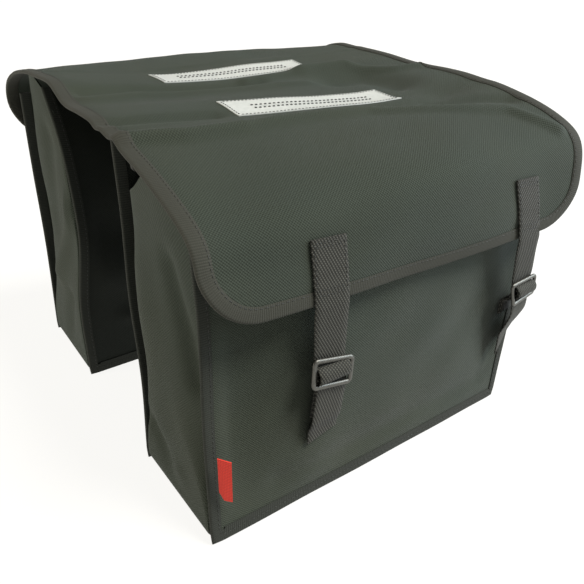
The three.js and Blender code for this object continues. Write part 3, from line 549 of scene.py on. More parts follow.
# sewn and bound seam standing out round a panel, nearly square at its corners
def addSeam(name, sheet, edge, look, replaced):
    band = roundedBand(look["width"], look["thickness"], look["start"])
    base, normal = offEdge(sheet, edge, 0.0, 0.0)
    outward = offEdge(sheet, edge, -1.0, 0.0)[0] - base
    outward /= np.max(np.abs(edge[:, 2:]), axis=1, keepdims=True) ** look["square"]
    overlap = look["overlap"] * np.clip(edge[:, 2:3], 0, 1)  # along the floor the tape laps on to the panel
    sections = [base + outward * (out - overlap * (out < 1)) + normal * lift for out, lift in band]
    sections = np.stack(sections, 1)
    sewn = offEdge(sheet, edge, -look["stitchOut"], look["thickness"] / 2 + look["gap"])
    addTape(name, sections, band, seamTape, replaced, sewn, look)


# top sheet: near flap, bridge and far flap, one cloth from hem to hem
topSheet = {
    # x, y, reach both ways and depth, shared by the cloths there; below nought the cloth stands up
    "sags": [(52, 88, 60, 70, 7.0), (88, 138, 16, 34, 6.0), (-110, -90, 60, 80, 4.9),
             (-215, -175, 55, 90, 4.6), (-110, 30, 55, 60, -1.5), (-190, -30, 60, 90, 1.6),
             (67, -120, 11, 70, -3.0), (76, -15, 11, 70, -3.0), (84, 80, 11, 60, -3.0)],
    "nearFolds": [  # down from the near seam, along from the left end
        (7, 1.6, (23, 6), (27, 51), (23, 100)),
        (6.5, 4.8, (23, 6), (27, 51), (21, 105), (15, 160), (13, 225), (28, 262), (54, 312), (68, 344),
         (90, 356), (110, 370)),
        (9, -4.0, (22, 296), (34, 335), (52, 368)),
        (30, -2.0, (70, 60), (150, 20)),
        (60, 2.0, (60, 150), (110, 260)),
        (34, -2.0, (110, 310), (170, 345))],
    "bridgeFolds": [  # down from the near seam towards the far seam
        (8, -4.0, (13, 6), (12, 95)),
        (7, 3.0, (97, 21), (112, 70), (109, 144), (107, 211), (100, 243)),
        (8, -3.5, (112, 21), (124, 70), (120, 144), (120, 200)),
        (7, 4.0, (128, 190), (132, 228), (135, 272), (130, 312), (112, 330), (92, 352), (82, 378)),
        (12, 5.0, (134, 262), (129, 312)),
        (20, -8.0, (98, 280), (94, 308), (72, 318), (50, 318))],
    "farFolds": [(26, -3.0, (30, 260), (60, 360)), (50, 2.0, (60, 60), (110, 200))],
    "slack": 0.7,
    "seamStill": 12,
}
half = drawing["sheetHalf"]
seamStill = topSheet["seamStill"]
topRows = [
    ("nearFolds", nearSeam, 0, (1, 0, 1), 3, (seamStill, 0, 0)),
    ("bridgeFolds", nearSeam, farSeam, (0, 0, 1), 4, (seamStill, seamStill, 0)),
    ("farFolds", farSeam, len(topLines) - 1, (-1, 0, 1), 5, (seamStill, 0, 0)),
]
topPieces = []
for folds, first, last, facing, seed, still in topRows:
    topPieces.append(makeSheet(topLines, half, first, last, facing, topSheet[folds], topSheet["slack"], seed,
                               still, topSheet["sags"]))
nearFlap, bridge, farFlap = topPieces

bindingLook = {"width": 11.0, "tape": 0.8, "gap": 0.05, "puff": 0.25, "stitchIn": 1.6, "stitch": 3.6,
               "pitch": 4.3, "thread": 0.3}
corner = drawing["flapCorner"]
for bag, flap in (("near", nearFlap), ("far", farFlap)):
    net = roundedNet(flap, corner, 56, 120, 16)
    cover = coverSheet(f"{bag}_flap_cloth", flap, *net, canvas, "cloth", [f"{bag}_flap"])
    wide, tall = flap["width"] / 1000, flap["height"] / 1000
    addBinding(f"{bag}_flap_edge_tape", flap, sheetEdge(flap, corner), bindingLook, [f"{bag}_flap_binding"])
print("flaps made")

# bridge with its two slits and their reflective patches: share of the way down and offset from the middle
patchLook = {"length": 170.7, "width": 39.0, "slit": 122.0, "slitWidth": 0.6, "thickness": 0.8, "lift": 0.45,
             "inset": 2.2, "stitch": 2.6, "pitch": 3.6, "thread": 0.45, "threadLift": 0.05,
             "slitRow": 3.4, "slitPast": 3.0, "slitStitch": 2.9, "slitPitch": 4.4, "slitThread": 0.75}
patchRows = [{"bag": "near", "share": 0.125, "offset": 2.7}, {"bag": "far", "share": 0.826, "offset": -0.2}]


# even lines with others put in, and none too close to those
def withLines(values, extra, clear=0.8):
    values = [v for v in values if min(abs(v - e) for e in extra) > clear]
    return np.array(sorted(values + list(extra)))


def spread(middle, size):
    return [middle - size / 2, middle + size / 2]


def slitCells(downs, alongs, slits):
    midDown, midAlong = (downs[:-1] + downs[1:]) / 2, (alongs[:-1] + alongs[1:]) / 2
    cells = np.zeros((len(midDown), len(midAlong)), bool)
    for (low, high), (left, right) in slits:
        inDown, inAlong = (midDown > low) & (midDown < high), (midAlong > left) & (midAlong < right)
        cells |= inDown[:, None] & inAlong[None, :]
    return cells


# stitches along a line on the bridge
def sewBridge(down, along, lift, length, pitch):
    points, normals = onSheet(bridge, down, along)
    return stitchRun(points + normals * lift, normals, length, pitch)


slits = []
for row in patchRows:
    row["middle"], row["centre"] = row["share"] * bridge["height"], half + row["offset"]
    slits.append((spread(row["middle"], patchLook["slitWidth"]), spread(row["centre"], patchLook["slit"])))
downs = withLines(np.linspace(0, bridge["height"], 76).tolist(), slits[0][0] + slits[1][0])
alongs = withLines(np.linspace(0, 2 * half, 125).tolist(), slits[0][1] + slits[1][1])
net = np.meshgrid(downs, alongs, indexing="ij")
keep = ~slitCells(downs, alongs, slits)
cover = coverSheet("bridge_cloth", bridge, *net, canvas, "cloth", ["bridge_panel"], keep)
for end, alongAt, way in (("left", 0.0, -1.0), ("right", 2 * half, 1.0)):
    rows = [(d, alongAt, 0.0, way) for d in np.linspace(0, bridge["height"], 60)]
    addBinding(f"bridge_edge_tape_{end}", bridge, np.array(rows), bindingLook, [f"bridge_binding_{end}"])

for row, slit in zip(patchRows, slits):
    bag, middle, centre = row["bag"], row["middle"], row["centre"]
    downs = withLines((middle + patchLook["width"] * np.linspace(-0.5, 0.5, 21)).tolist(), slit[0])
    alongs = withLines((centre + patchLook["length"] * np.linspace(-0.5, 0.5, 71)).tolist(), slit[1])
    net = np.meshgrid(downs, alongs, indexing="ij")
    keep = ~slitCells(downs, alongs, [slit])
    lift = drawing["cloth"] / 2 + patchLook["lift"]
    patch = coverSheet(f"{bag}_silver_patch", bridge, *net, beadSheet, "reflective",
                       [f"{bag}_reflective_patch"], keep, lift, patchLook["thickness"])

    # stitches round its edge, and a row each side of the slit
    top = lift + patchLook["thickness"] / 2 + patchLook["threadLift"]
    w, l = patchLook["width"] / 2 - patchLook["inset"], patchLook["length"] / 2 - patchLook["inset"]
    corners = [(-w, -l), (-w, l), (w, l), (w, -l)]
    steps = np.linspace(0, 1, 80)
    runs = []
    for a, b in zip(corners, corners[1:] + corners[:1]):
        down, along = middle + a[0] + (b[0] - a[0]) * steps, centre + a[1] + (b[1] - a[1]) * steps
        runs.append(sewBridge(down, along, top, patchLook["stitch"], patchLook["pitch"]))
    addStitches(f"{bag}_patch_stitching", *joinRuns(runs), patchLook["thread"], darkThread, "tape")
    reach = patchLook["slit"] / 2 + patchLook["slitPast"]
    steps = np.linspace(-reach, reach, 160)
    runs = [sewBridge(middle + side * patchLook["slitRow"], centre + steps, top, patchLook["slitStitch"],
                      patchLook["slitPitch"]) for side in (-1, 1)]
    addStitches(f"{bag}_slit_stitching", *joinRuns(runs), patchLook["slitThread"], darkThread, "tape")
print("bridge and patches made")


# bags
# where the top of a back panel meets the seam over it
def underSeam(line):
    rail = np.array(railOf(line, half), float)
    reach = drawing["panelHalf"] / half
    places = splineAt(rail, [1 - reach, 1, 1 + reach])
    return tuple(value for place in places for value in (place[0], place[2] - drawing["cloth"]))


# rim: how far the gusset starts below the back panel's top at its left and right end
# notch: share and power of the opening beside the back panel; backStart: where the back seam's tape starts
# ease: how slowly the gusset swells from the back and the outer seam above the floor
bagLook = {
    "near": {"side": 1, "flap": nearFlap, "seam": topLines[nearSeam], "rim": (44.0, 22.0),
             "notch": (0.45, 2.0), "backStart": (6.0, 6.0), "ease": (0.24, 0.45),
             "outerFolds": [
                 (24, -3.0, (60, 18), (150, 18), (222, 22)),
                 (40, 5.0, (60, 88), (222, 92)),
                 (60, 2.0, (40, 182), (60, 300)),
                 (14, -2.5, (236, 60), (236, 330)),
                 (26, -2.0, (90, 340), (200, 352))],
             "backFolds": [(40, 4.0, (90, 60), (150, 330)), (26, -4.0, (200, 40), (240, 300))],
             "gussetFolds": [
                 (9, -5.0, (40, 76), (80, 88), (120, 94)), (12, -5.0, (205, 20), (268, 74)),
                 (10, 3.0, (225, 66), (275, 20)), (20, 3.0, (60, 30), (190, 34)),
                 (14, -3.0, (700, 30), (820, 70)), (16, -3.0, (860, 40), (960, 60))]},
    "far": {"side": -1, "flap": farFlap, "seam": topLines[farSeam], "rim": (43.0, 22.0),
            "notch": (0.6, 0.6), "backStart": (12.0, 6.0), "ease": (0.0, 0.45),
            "outerFolds": [(34, -2.5, (150, 20), (250, 90)), (60, 2.0, (60, 182), (90, 300))],
            "backFolds": [
                (24, -5.0, (150, 0), (168, 120)), (26, 5.0, (205, 20), (230, 330)),
                (34, 5.0, (100, 60), (120, 340)), (10, 3.0, (262, 40), (268, 330))],
            "gussetFolds": [
                (12, 5.0, (90, 10), (180, 62)), (16, -5.0, (40, 40), (110, 70)),
                (10, -4.0, (200, 30), (268, 60)), (14, -3.0, (700, 30), (820, 70))]},
    "slack": 0.9,
    "seamStill": (0, 24, 16),
}
seamLook = {"width": 9.5, "start": 0.2, "square": 1.0, "overlap": 4.0, "thickness": 3.8, "gap": 0.05,
            "stitchOut": 2.2, "stitch": 3.0, "pitch": 4.6, "thread": 0.3}
# bulge and how soon it starts at the seams, and heights in mm from which it eases and creases show
gussetLook = {"bulge": 11.15, "shoulder": 0.035, "easeFrom": 20.0, "easeRun": 110.0, "fullWidth": 100.0,
              "seamIn": 2.0, "lift": 1.35, "underFlap": 3.2, "rimFade": 90.0, "rimEnd": 0.05,
              "middleZ": 150.0, "foldsFrom": 14.0, "foldsRun": 30.0, "heldShare": 0.12, "flatShare": 1.1,
              "areaShare": 1.12, "sideSteps": 60, "acrossSteps": 37}


# seam line of a gusset inside a panel: left side, floor and right side
def gussetLine(sheet, drop):
    edge = sheetEdge(sheet, drawing["panelCorner"], sideStep=2.0, cornerSteps=6)
    line = offEdge(sheet, edge, gussetLook["seamIn"], -gussetLook["lift"])[0]
    count = int((edge[:, 1] <= 1e-6).sum())
    sides = []
    for part, skip in zip((line[:count], line[len(line) - count:][::-1]), drop):
        far = pathLengths(part)
        sides.append(readAlong(np.linspace(skip, far[-1], gussetLook["sideSteps"]), far, part))
    return np.concatenate([sides[0], line[count:len(line) - count], sides[1][::-1]])


# how far a gusset's rim rises to meet the flap over it, with a notch left open beside the back panel
def rimRise(flap, rim, share, notch):
    column = int(np.clip((rim[:, 1].mean() + half) / flap["width"], 0, 1) * (flap["table"].shape[1] - 1))
    over = flap["table"][:, column]
    order = np.argsort(over[:, 0])
    cover = np.interp(rim[:, 0], over[order, 0], over[order, 2])
    rise = np.maximum(cover - rim[:, 2] - gussetLook["underFlap"], 0)
    opened = np.clip(share / notch[0], 0, 1) ** notch[1]
    return rise * opened * np.clip((1 - share) / gussetLook["rimEnd"], 0, 1)


def addGusset(bag, outer, back, look):
    front, rear = gussetLine(outer, (0.0, 0.0)), gussetLine(back, look["rim"])
    middle, across = (front + rear) / 2, front - rear
    centre = middle.mean(0)
    centre[2] = gussetLook["middleZ"]
    out = unit(np.cross(np.gradient(middle, axis=0), across))
    out *= np.sign((out * (middle - centre)).sum(1))[:, None]
    width = np.linalg.norm(across, axis=1)
    share = (1 - np.cos(math.pi * np.linspace(0, 1, gussetLook["acrossSteps"]))) / 2
    lifted = eased((middle[:, 2] - gussetLook["easeFrom"]) / gussetLook["easeRun"])
    byBack, byOuter = [gussetLook["shoulder"] + ease * lifted[:, None] for ease in look["ease"]]
    swell = np.sin(math.pi / 2 * np.minimum(1, np.minimum(share / byBack, (1 - share) / byOuter)))
    depth = gussetLook["bulge"] * np.minimum(1, width / gussetLook["fullWidth"])
    swollen = out[:, None] * (swell * depth[:, None])[..., None]
    net = rear[:, None] + across[:, None] * share[None, :, None] + swollen
    run = pathLengths(middle)[:, None]
    over = share[None, :] * width[:, None]
    for end, away in ((0, run), (-1, run[-1] - run)):
        fade = np.clip(1 - away / gussetLook["rimFade"], 0, 1) ** 2
        net[..., 2] += rimRise(look["flap"], net[end], share, look["notch"]) * fade
    relief = foldRelief(run, over, look["gussetFolds"])
    relief = relief + slackWaves(run, over, bagLook["slack"], 8 + look["side"])
    high = np.clip((net[..., 2] - gussetLook["foldsFrom"]) / gussetLook["foldsRun"], 0, 1)
    held = np.minimum(1, np.minimum(share, 1 - share) / gussetLook["heldShare"])[None, :]
    net = net + tableNormals(net, out[:, None]) * (relief * high * held)[..., None]
    strip = addCloth(f"{bag}_gusset_cloth", net, tableNormals(net, out[:, None]), clothUv(run, over),
                     drawing["cloth"], canvas, "cloth", [f"{bag}_gusset"])


# eyelet ring through a back panel's top corner: its place down and along, and its section (radius, depth)
eyeletLook = {"down": 27.0, "along": 8.0, "steps": 32,
              "section": [(2.6, -1.5), (3.2, -1.95), (4.4, -1.9), (5.2, -1.35), (3.4, -1.3), (3.4, 1.3),
                          (5.2, 1.35), (4.4, 1.9), (3.2, 1.95), (2.6, 1.5)]}


def addEyelet(bag, back):
    low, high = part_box(f"{bag}_eyelet")
    spot = (np.array(low) + np.array(high)) * 500 - np.array(drawing["shift"])
    axis = onSheet(back, eyeletLook["down"], eyeletLook["along"])[1]
    right = unit(np.cross(axis, (0, 0, 1.0)))
    upward = np.cross(right, axis)
    sections = []
    for t in np.linspace(0, math.tau, eyeletLook["steps"] + 1)[:-1]:
        outward = right * math.cos(t) + upward * math.sin(t)
        sections.append([spot + outward * r + axis * z for r, z in eyeletLook["section"]])
    addSweep(f"{bag}_eyelet_ring", np.array(sections), None, satinNickel, "metal", [f"{bag}_eyelet"],
             ring=True, sharp=50)


outerPanels = {}
panelHalf, corner = drawing["panelHalf"], drawing["panelCorner"]
slack, still = bagLook["slack"], bagLook["seamStill"]
for bag in ("near", "far"):
    look = bagLook[bag]
    side = look["side"]
    backLines = [underSeam(look["seam"])] + panelLines[f"{bag}Back"]
    outerLines = panelLines[f"{bag}Outer"]
    outer = makeSheet(outerLines, panelHalf, 0, 3, (side, 0, 0), look["outerFolds"], slack, 11, still)
    back = makeSheet(backLines, panelHalf, 0, 4, (-side, 0, 0), look["backFolds"], slack, 12, still,
                     topSheet["sags"])
    outerPanels[bag] = outer
    for kind, sheet, cloth, hangs, start in (
            ("outer", outer, canvas, f"{bag}_gusset", (0.0, 0.0)),
            ("back", back, shadedBackCanvas, "bridge_panel", look["backStart"])):
        net = roundedNet(sheet, corner, 80, 104, 4)
        cover = coverSheet(f"{bag}_{kind}_cloth", sheet, *net, cloth, "cloth", [f"{bag}_{kind}_panel"])
        edge = sheetEdge(sheet, corner, start, cornerSteps=8)
        addSeam(f"{bag}_{kind}_seam_tape", sheet, edge, seamLook, [f"{bag}_{kind}_seam"])
    addGusset(bag, outer, back, look)
    addEyelet(bag, back)
print("bags made")

# straps, in mm and degrees. y: place along the bag; buckleZ, standoff: the buckle's height and distance
# off the panel; slant: of the whole strap; twist from height twistFrom down; buckleTurn, buckleOver: the
# buckle's turn and shift to the right; lean: outwards along the buckle, inwards and left along the tail (mm
# per mm); tail, swing, wave, cut: the free tail's length, swing to the panel, waves and slanted end;
# top: length sewn on the flap; tabLow: foot of the buckle's tab
farStrap = {"side": -1, "buckleZ": 143, "standoff": 12, "slant": 0, "twist": 0, "twistFrom": -50,
            "buckleTurn": 0, "buckleOver": 0, "lean": (0.0, 0.0, 0.0), "tail": 57, "cut": 5, "top": 50,
            "tabLow": 96}
strapRows = [
    {"name": "near_left", "side": 1, "y": -96, "buckleZ": 141, "standoff": 11, "slant": 4.5, "twist": 4,
     "twistFrom": -50, "buckleTurn": -11, "buckleOver": 2, "lean": (0.15, 0.08, 0.05), "tail": 60, "swing": 7,
     "wave": 0.5, "cut": -7, "top": 50, "tabLow": 96},
    {"name": "near_right", "side": 1, "y": 120, "buckleZ": 154, "standoff": 19, "slant": 15.0, "twist": 16,
     "twistFrom": -95, "buckleTurn": 5, "buckleOver": 6, "lean": (0.0, 0.05, 0.06), "tail": 70, "swing": 9,
     "wave": 2.0, "cut": -30, "top": 56, "tabLow": 121},
    {**farStrap, "name": "far_left", "y": -104, "swing": 5, "wave": 1.0},
    {**farStrap, "name": "far_right", "y": 104, "swing": 4, "wave": 1.5},
]
webLook = {"width": 32.0, "tabWidth": 30.0, "thickness": 1.6, "selvage": 0.7, "tape": 1.1, "hem": 12.0,
           "tabSewn": 16.0, "twistRun": 85.0, "overRun": 45.0, "cutRun": 15.0, "lapGap": 0.5, "layerGap": 0.4,
           "seatGap": 0.9, "threadLift": 0.05, "stitch": 2.4, "pitch": 3.4, "thread": 0.34, "boxHalf": 13.5,
           "boxRows": (3.0, 6.0), "hemRows": (12.0, 7.5), "boxFoot": 10.0, "reachHalf": 15.0,
           "originUp": 50.0, "skewUp": 20.0, "skewHalf": 12.0}
buckleLook = {"width": 43.0, "height": 27.0, "thickness": 3.4, "bar": 4.6, "corner": 5.2, "rod": 1.3,
              "rodEnd": 2.0, "squared": 0.35, "slim": 0.95, "gap": 0.3, "behindGap": 0.5, "tabBevel": 0.65,
              "overRod": [(1.6, 7.2), (4.6, 4.0), (4.6, -1.5), (2.2, -5.0)]}  # webbing's way: out, rise


# flat woven strap along a side profile (out, rise) in the strap's own frame
def addRibbon(name, profile, width, place, replaced, cut=0.0, step=1.6):
    profile = np.asarray(profile, float)
    rough = splineAt(profile, np.linspace(0, len(profile) - 1, 24 * (len(profile) - 1) + 1))
    far = pathLengths(rough)
    full = far[-1]
    wanted = np.linspace(0, full, int(full / step))
    line = readAlong(wanted, far, rough)
    along = unit(np.gradient(line, axis=0))
    lifted = np.stack([-along[:, 1], along[:, 0]], -1)
    w, t = width / 2, webLook["thickness"] / 2
    flat = w - webLook["selvage"]
    edge = [(flat, t), (w - 0.15, t * 0.6), (w, 0.0), (w - 0.15, -t * 0.6), (flat, -t)]
    flatRow = [(s * flat, -t) for s in (0.66, 0.33, 0.0, -0.33, -0.66)]
    loop = edge + flatRow + [(-a, b) for a, b in edge[::-1]] + [(a, t) for a, _ in flatRow[::-1]]
    hold = full - 1.5 * abs(cut) - webLook["cutRun"]  # from here on each thread runs to its own end
    sections, uvs = np.empty((len(line), len(loop), 3)), np.empty((len(line), len(loop), 2))
    for k, (across, lift) in enumerate(loop):
        stretch = (full - abs(cut) / 2 + cut * across / width - hold) / (full - hold)
        own = np.where(wanted > hold, hold + (wanted - hold) * stretch, wanted)
        spot = readAlong(own, wanted, line) + readAlong(own, wanted, lifted) * lift
        sections[:, k] = place(np.stack([spot[:, 0], np.full(len(spot), across), spot[:, 1]], -1))
        uvs[:, k] = np.stack([np.full(len(own), across), own], -1)
    piece = addSweep(name, sections, uvs, twillWebbing, "webbing", replaced, sharp=75)

    def onRibbon(distance, across, facing):
        spot, up = readAlong(distance, wanted, line), unit(readAlong(distance, wanted, lifted)) * facing
        base = np.stack([spot[:, 0], across, spot[:, 1]], -1)
        lift = np.stack([up[:, 0], 0 * across, up[:, 1]], -1)
        points = place(base + lift * (t + webLook["threadLift"]))
        return points, unit(points - place(base))
    return piece, onRibbon, full


# middle line of a frame with round corners
def ringPath(width, height, corner, steps=8):
    rows = []
    for k, (sx, sz) in enumerate(((1, -1), (1, 1), (-1, 1), (-1, -1))):
        for t in np.linspace(0, math.pi / 2, steps):
            turn = t + (k - 1) * math.pi / 2
            rows.append((sx * (width / 2 - corner) + corner * math.cos(turn),
                         sz * (height / 2 - corner) + corner * math.sin(turn)))
    return np.array(rows)


for row in strapRows:
    name, side, y = row["name"], row["side"], row["y"]
    bag, flap = ("near", nearFlap) if side > 0 else ("far", farFlap)
    panel, along, height = outerPanels[bag], y + half, flap["height"]
    top = onSheet(flap, height - webLook["originUp"], along)[0]
    skewed = [onSheet(flap, height - webLook["skewUp"], along + s * webLook["skewHalf"])[0] for s in (-1, 1)]
    skewed = skewed[1] - skewed[0]
    turn = math.atan2(-skewed[0], skewed[1]) + (0 if side > 0 else math.pi)
    leaning = np.array([[1, 0, 0], [0, 1, -math.tan(math.radians(side * row["slant"]))], [0, 0, 1]])
    turned = np.array(Matrix.Rotation(turn, 3, "Z")) @ leaning
    origin = np.array([top[0], y, top[2]])
    halfHeight, bar = buckleLook["height"] / 2, buckleLook["bar"]
    low = row["buckleZ"] - top[2]

    # from the strap's own frame (out, across, rise) to its place on the bag
    def place(points):
        out, across, rise = points[..., 0], points[..., 1], points[..., 2]
        angle = math.radians(row["twist"]) * np.clip((row["twistFrom"] - rise) / webLook["twistRun"], 0, 1)
        onBuckle = np.clip(low + halfHeight - rise, 0, 2 * halfHeight)
        onTail = np.clip(low - halfHeight - rise, 0, None)
        outwards, inwards, left = row["lean"]
        over = row["buckleOver"] * (1 - eased((np.abs(rise - low) - halfHeight) / webLook["overRun"]))
        leant = out - across * np.sin(angle) + outwards * onBuckle - inwards * onTail
        swung = across * np.cos(angle) - left * onTail + over
        return np.stack([leant, swung, rise], -1) @ turned.T + origin

    def reachOf(spot):
        return (spot[..., 0] - top[0]) * math.cos(turn) + (spot[..., 1] - y) * math.sin(turn)

    # how far the outer panel stands out behind the strap at a height
    def panelReach(z):
        shift = (top[2] - z) * math.sin(math.radians(row["slant"])) * side
        alongPanel = y + shift + panelHalf
        mouth = onSheet(panel, 0, y + panelHalf)[0][2]
        downPanel = panel["height"] * (mouth - z) / (mouth - foot)
        alongs = alongPanel + webLook["reachHalf"] * np.array([-1, 0, 1])
        return max(reachOf(onSheet(panel, downPanel, alongs)[0]))

    # over the flap and its edge tape, then behind, over and behind the buckle's bars
    hem = webLook["hem"]
    lapDowns = height - row["top"] + np.linspace(0, row["top"] - hem, 6)
    lapDowns = np.append(lapDowns, [height - 0.75 * hem, height])
    points, normals = onSheet(flap, lapDowns, along)
    overTape = np.where(lapDowns > height - hem - 0.5, webLook["tape"], 0.0)
    lift = drawing["cloth"] / 2 + webLook["lapGap"] + overTape + webLook["thickness"] / 2
    lap = points + normals * lift[:, None]
    profile = [np.array([reachOf(p), p[2] - top[2]]) for p in lap]
    lapLength = float(pathLengths(np.array(profile))[-1])
    face = panelReach(row["buckleZ"]) + row["standoff"]
    behind = -(buckleLook["thickness"] / 2 + buckleLook["behindGap"] + webLook["thickness"] / 2)
    layer = webLook["thickness"] + webLook["layerGap"]

    # places measured out and up from the buckle's middle
    def at(out, rise):
        return np.array([face + out, low + rise])

    # webbing lying on the panel at a rise
    def seat(rise):
        panelOut = panelReach(row["buckleZ"] + rise) - face
        return panelOut + drawing["cloth"] / 2 + webLook["seatGap"] + webLook["thickness"] / 2
    past = profile[-1] + unit(profile[-1] - profile[-2]) * 3
    profile += [past, np.array([past[0] * 0.8 + (face + behind) * 0.2, past[1] - 10])]
    profile += [at(behind, halfHeight + 5), at(behind, halfHeight - bar - 1)]
    profile += [at(*spot) for spot in buckleLook["overRod"]]
    profile += [at(behind * 0.6, -8.0), at(behind, bar - 0.5 - halfHeight), at(behind, -halfHeight - 1)]
    for share in (0.2, 0.4, 0.6, 0.8, 1.0):  # the free tail, kept clear of the tab and the panel
        rise = -halfHeight - row["tail"] * share
        clear = seat(rise) + (2 * layer + 0.3 if rise + row["buckleZ"] > row["tabLow"] - 6 else 0.6)
        out = behind - row["swing"] * share**1.5 + row["wave"] * math.sin(share * 7.5)
        profile.append(at(max(out, clear), rise))
    strap, onStrap, strapLength = addRibbon(f"{name}_webbing", profile, webLook["width"], place,
                                            [f"{name}_strap"], row["cut"])

    # box of stitches at the sewn end and two rows at the hem
    probe = onStrap(np.array([5.0]), np.array([0.0]), 1.0)[1]
    facing = 1.0 if (probe[0] * normals[0]).sum() > 0 else -1.0
    boxHalf, start, count = webLook["boxHalf"], webLook["boxRows"][0], 30
    sewn = []
    for far in (*webLook["boxRows"], *(lapLength - up for up in webLook["hemRows"])):
        sewn.append((np.full(count, far), np.linspace(-boxHalf, boxHalf, count)))
    for across in (-boxHalf, boxHalf):
        sewn.append((np.linspace(start, lapLength - webLook["boxFoot"], count), np.full(count, across)))
    runs = [stitchRun(*onStrap(*line, facing), webLook["stitch"], webLook["pitch"]) for line in sewn]
    addStitches(f"{name}_strap_stitching", *joinRuns(runs), webLook["thread"], darkThread, "webbing")

    # buckle: rounded frame with a middle bar, turned a little on the strap
    sine, cosine = math.sin(math.radians(row["buckleTurn"])), math.cos(math.radians(row["buckleTurn"]))
    path = ringPath(buckleLook["width"] - bar, buckleLook["height"] - bar, buckleLook["corner"] - bar / 2)
    forward = unit(np.roll(path, -1, 0) - np.roll(path, 1, 0))
    outwards = np.stack([forward[:, 1], -forward[:, 0]], -1)
    around = np.linspace(0, math.tau, 13)[:-1]
    rings = np.empty((len(path), len(around), 3))
    for k, t in enumerate(around):
        full = buckleLook["slim"] / max(abs(math.cos(t)), abs(math.sin(t))) ** buckleLook["squared"]
        flat = path + outwards * bar / 2 * math.cos(t) * full
        out = np.full(len(path), face + buckleLook["thickness"] / 2 * math.sin(t) * full)
        over, rise = flat[:, 0] * cosine - flat[:, 1] * sine, flat[:, 0] * sine + flat[:, 1] * cosine
        rings[:, k] = place(np.stack([out, over, low + rise], -1))
    addSweep(f"{name}_buckle_frame", rings, None, satinNickel, "metal", [f"{name}_buckle"],
             ring=True, sharp=60)
    thick, reach = buckleLook["rod"], buckleLook["width"] / 2 - buckleLook["rodEnd"]
    rod = place(np.array([[(face + thick * math.sin(t), e * cosine, low + e * sine + thick * math.cos(t))
                           for t in around] for e in np.linspace(-reach, reach, 9)]))
    addSweep(f"{name}_buckle_bar", rod, None, satinNickel, "metal", sharp=60)

    # tab from the panel, looped round the middle bar
    clear, bevel = buckleLook["gap"] + webLook["thickness"] / 2, buckleLook["tabBevel"]
    ring, edge = buckleLook["thickness"] / 2 + clear, bar / 2 + clear
    lowRise = row["tabLow"] - row["buckleZ"]
    highRise = lowRise + webLook["tabSewn"]
    under = behind - layer - 0.3
    tab = [at(seat(lowRise), lowRise), at(seat(highRise), highRise), at(under - layer, -9.5),
           at(-ring - 2.6, -4), at(-ring - 0.1, -0.6), at(-ring, edge - bevel), at(bevel - ring, edge),
           at(ring - bevel, edge), at(ring, edge - bevel), at(ring, bevel - edge), at(ring - bevel, -edge),
           at(-1, -edge), at(-ring - 0.6, -edge - 2.2), at(under, -10),
           at(seat(highRise) + layer, highRise + 0.4), at(seat(lowRise) + layer, lowRise + 2)]
    tabPiece, _, tabLength = addRibbon(f"{name}_tab_webbing", tab, webLook["tabWidth"], place,
                                       [f"{name}_buckle_tab"], step=0.8)
print("straps and buckles made")

# side label sewn into the near bag's left front seam, plain; its foot is folded under at one corner
labelLook = {"head": [(195.5, -185.5, 93.0), (200.5, -175.8, 87.5)], "thickness": 0.9,
             "foot": [(196.5, -184.3, 58.0), (199.0, -181.0, 48.8), (202.0, -175.0, 45.9)],
             "footAt": (0.0, 0.37, 1.0)}
across, along = np.linspace(0, 1, 25), np.linspace(0, 1, 41)[:, None, None]
head = np.stack([np.interp(across, (0, 1), v) for v in zip(*labelLook["head"])], -1)
hem = np.stack([np.interp(across, labelLook["footAt"], v) for v in zip(*labelLook["foot"])], -1)
net = head * (1 - along) + hem * along
normals = unit(np.cross(np.gradient(net, axis=1), np.gradient(net, axis=0)))
wide = float(np.linalg.norm(net[:, -1] - net[:, 0], axis=-1).mean())
tall = float(np.linalg.norm(hem - head, axis=-1).mean())
uvs = clothUv(tall * along[..., 0], wide * across[None, :])
label = addCloth("side_label_ribbon", net, normals, uvs, labelLook["thickness"], redRibbon, "label",
                 ["side_label"])
print("label made")

# camera where the photograph was taken from
cameraLook = {"place": (471.2, -347.2, 413.5), "right": (0.5989985, 0.79823364, 0.06343381),
              "up": (-0.41818618, 0.24428285, 0.87489783), "sensor": 36.0, "focalPixels": 572.0,
              "pixels": 584.0}
lens = bpy.data.cameras.new("camera")
lens.sensor_width = cameraLook["sensor"]
lens.lens = cameraLook["sensor"] * cameraLook["focalPixels"] / cameraLook["pixels"]
camera = bpy.data.objects.new("camera", lens)
right, up = Vector(cameraLook["right"]), Vector(cameraLook["up"])
spot = Vector(toFrame(cameraLook["place"]))
camera.matrix_world = Matrix.Translation(spot) @ Matrix((right, up, right.cross(up))).transposed().to_4x4()
scene.collection.objects.link(camera)
scene.camera = camera

# pale floor and soft studio light
stageLook = {"flatHalf": 12.0, "floorHalf": 60.0, "rise": 6.0, "floor": "#4c4c4b", "roughness": 0.9,
             "glow": "#fffefb", "glowStrength": 0.92, "world": 0.12, "aim": (0, 0, 0.2)}
floorMesh = bpy.data.meshes.new("floor")
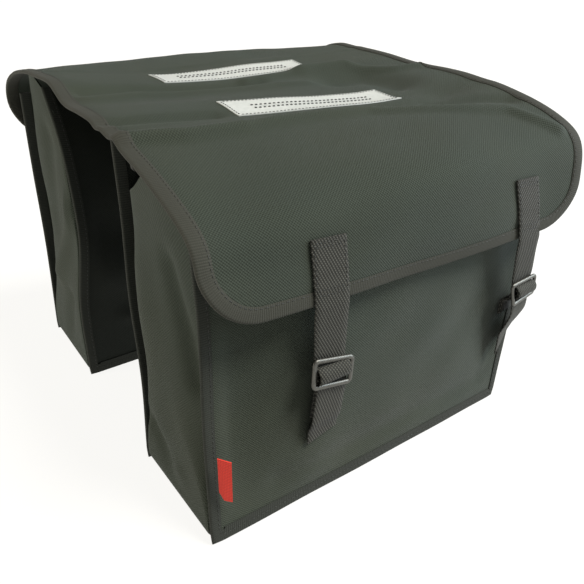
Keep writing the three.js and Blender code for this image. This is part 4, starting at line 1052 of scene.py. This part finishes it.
# flat, then a gentle sweep up past the horizon
rims = [(stageLook["flatHalf"], 0.0), (stageLook["floorHalf"], stageLook["rise"])]
corners = [(x * h, y * h, z) for h, z in rims for x, y in ((-1, -1), (1, -1), (1, 1), (-1, 1))]
sweeps = [(k, k + 4, (k + 1) % 4 + 4, (k + 1) % 4) for k in range(4)]
floorMesh.from_pydata(corners, [], [(0, 1, 2, 3)] + sweeps)
# painted table lit from all round: plain white with hardly a shadow
floorMaterial, _, floorShader = startMaterial("lit white table", stageLook)
floorShader.inputs["Base Color"].default_value = toLinear(stageLook["floor"])
floorShader.inputs["Emission Color"].default_value = toLinear(stageLook["glow"])
floorShader.inputs["Emission Strength"].default_value = stageLook["glowStrength"]
floorMesh.materials.append(floorMaterial)
floor = bpy.data.objects.new("floor", floorMesh)
scene.collection.objects.link(floor)

world = bpy.data.worlds.new("studio")
scene.world = world
world.use_nodes = True
world.node_tree.nodes["Background"].inputs["Color"].default_value = (1, 1, 1, 1)
world.node_tree.nodes["Background"].inputs["Strength"].default_value = stageLook["world"]

lightRows = [
    {"name": "overhead", "kind": "SUN", "from": (0.35, 0.30, 1.0), "strength": 5.2, "spread": 22,
     "tint": "#fffdf9"},
    {"name": "right front", "kind": "AREA", "from": (0.95, 1.35, 0.8), "strength": 28, "spread": 0.8,
     "tint": "#e6f3ff"},
    {"name": "left", "kind": "AREA", "from": (-0.45, -1.6, 0.4), "strength": 17, "spread": 0.5,
     "tint": "#fff8ea"},
]
for row in lightRows:
    lamp = bpy.data.lights.new(row["name"], row["kind"])
    lamp.energy, lamp.color = row["strength"], toLinear(row["tint"])[:3]
    if row["kind"] == "SUN":
        lamp.angle = math.radians(row["spread"])
    else:
        lamp.size = row["spread"]
    lampObject = bpy.data.objects.new(row["name"], lamp)
    lampObject.location = row["from"]
    aim = Vector(stageLook["aim"]) - Vector(row["from"])
    lampObject.rotation_euler = aim.to_track_quat("-Z", "Y").to_euler()
    scene.collection.objects.link(lampObject)
scene.view_settings.view_transform = "Standard"
print("camera, floor and lights made")
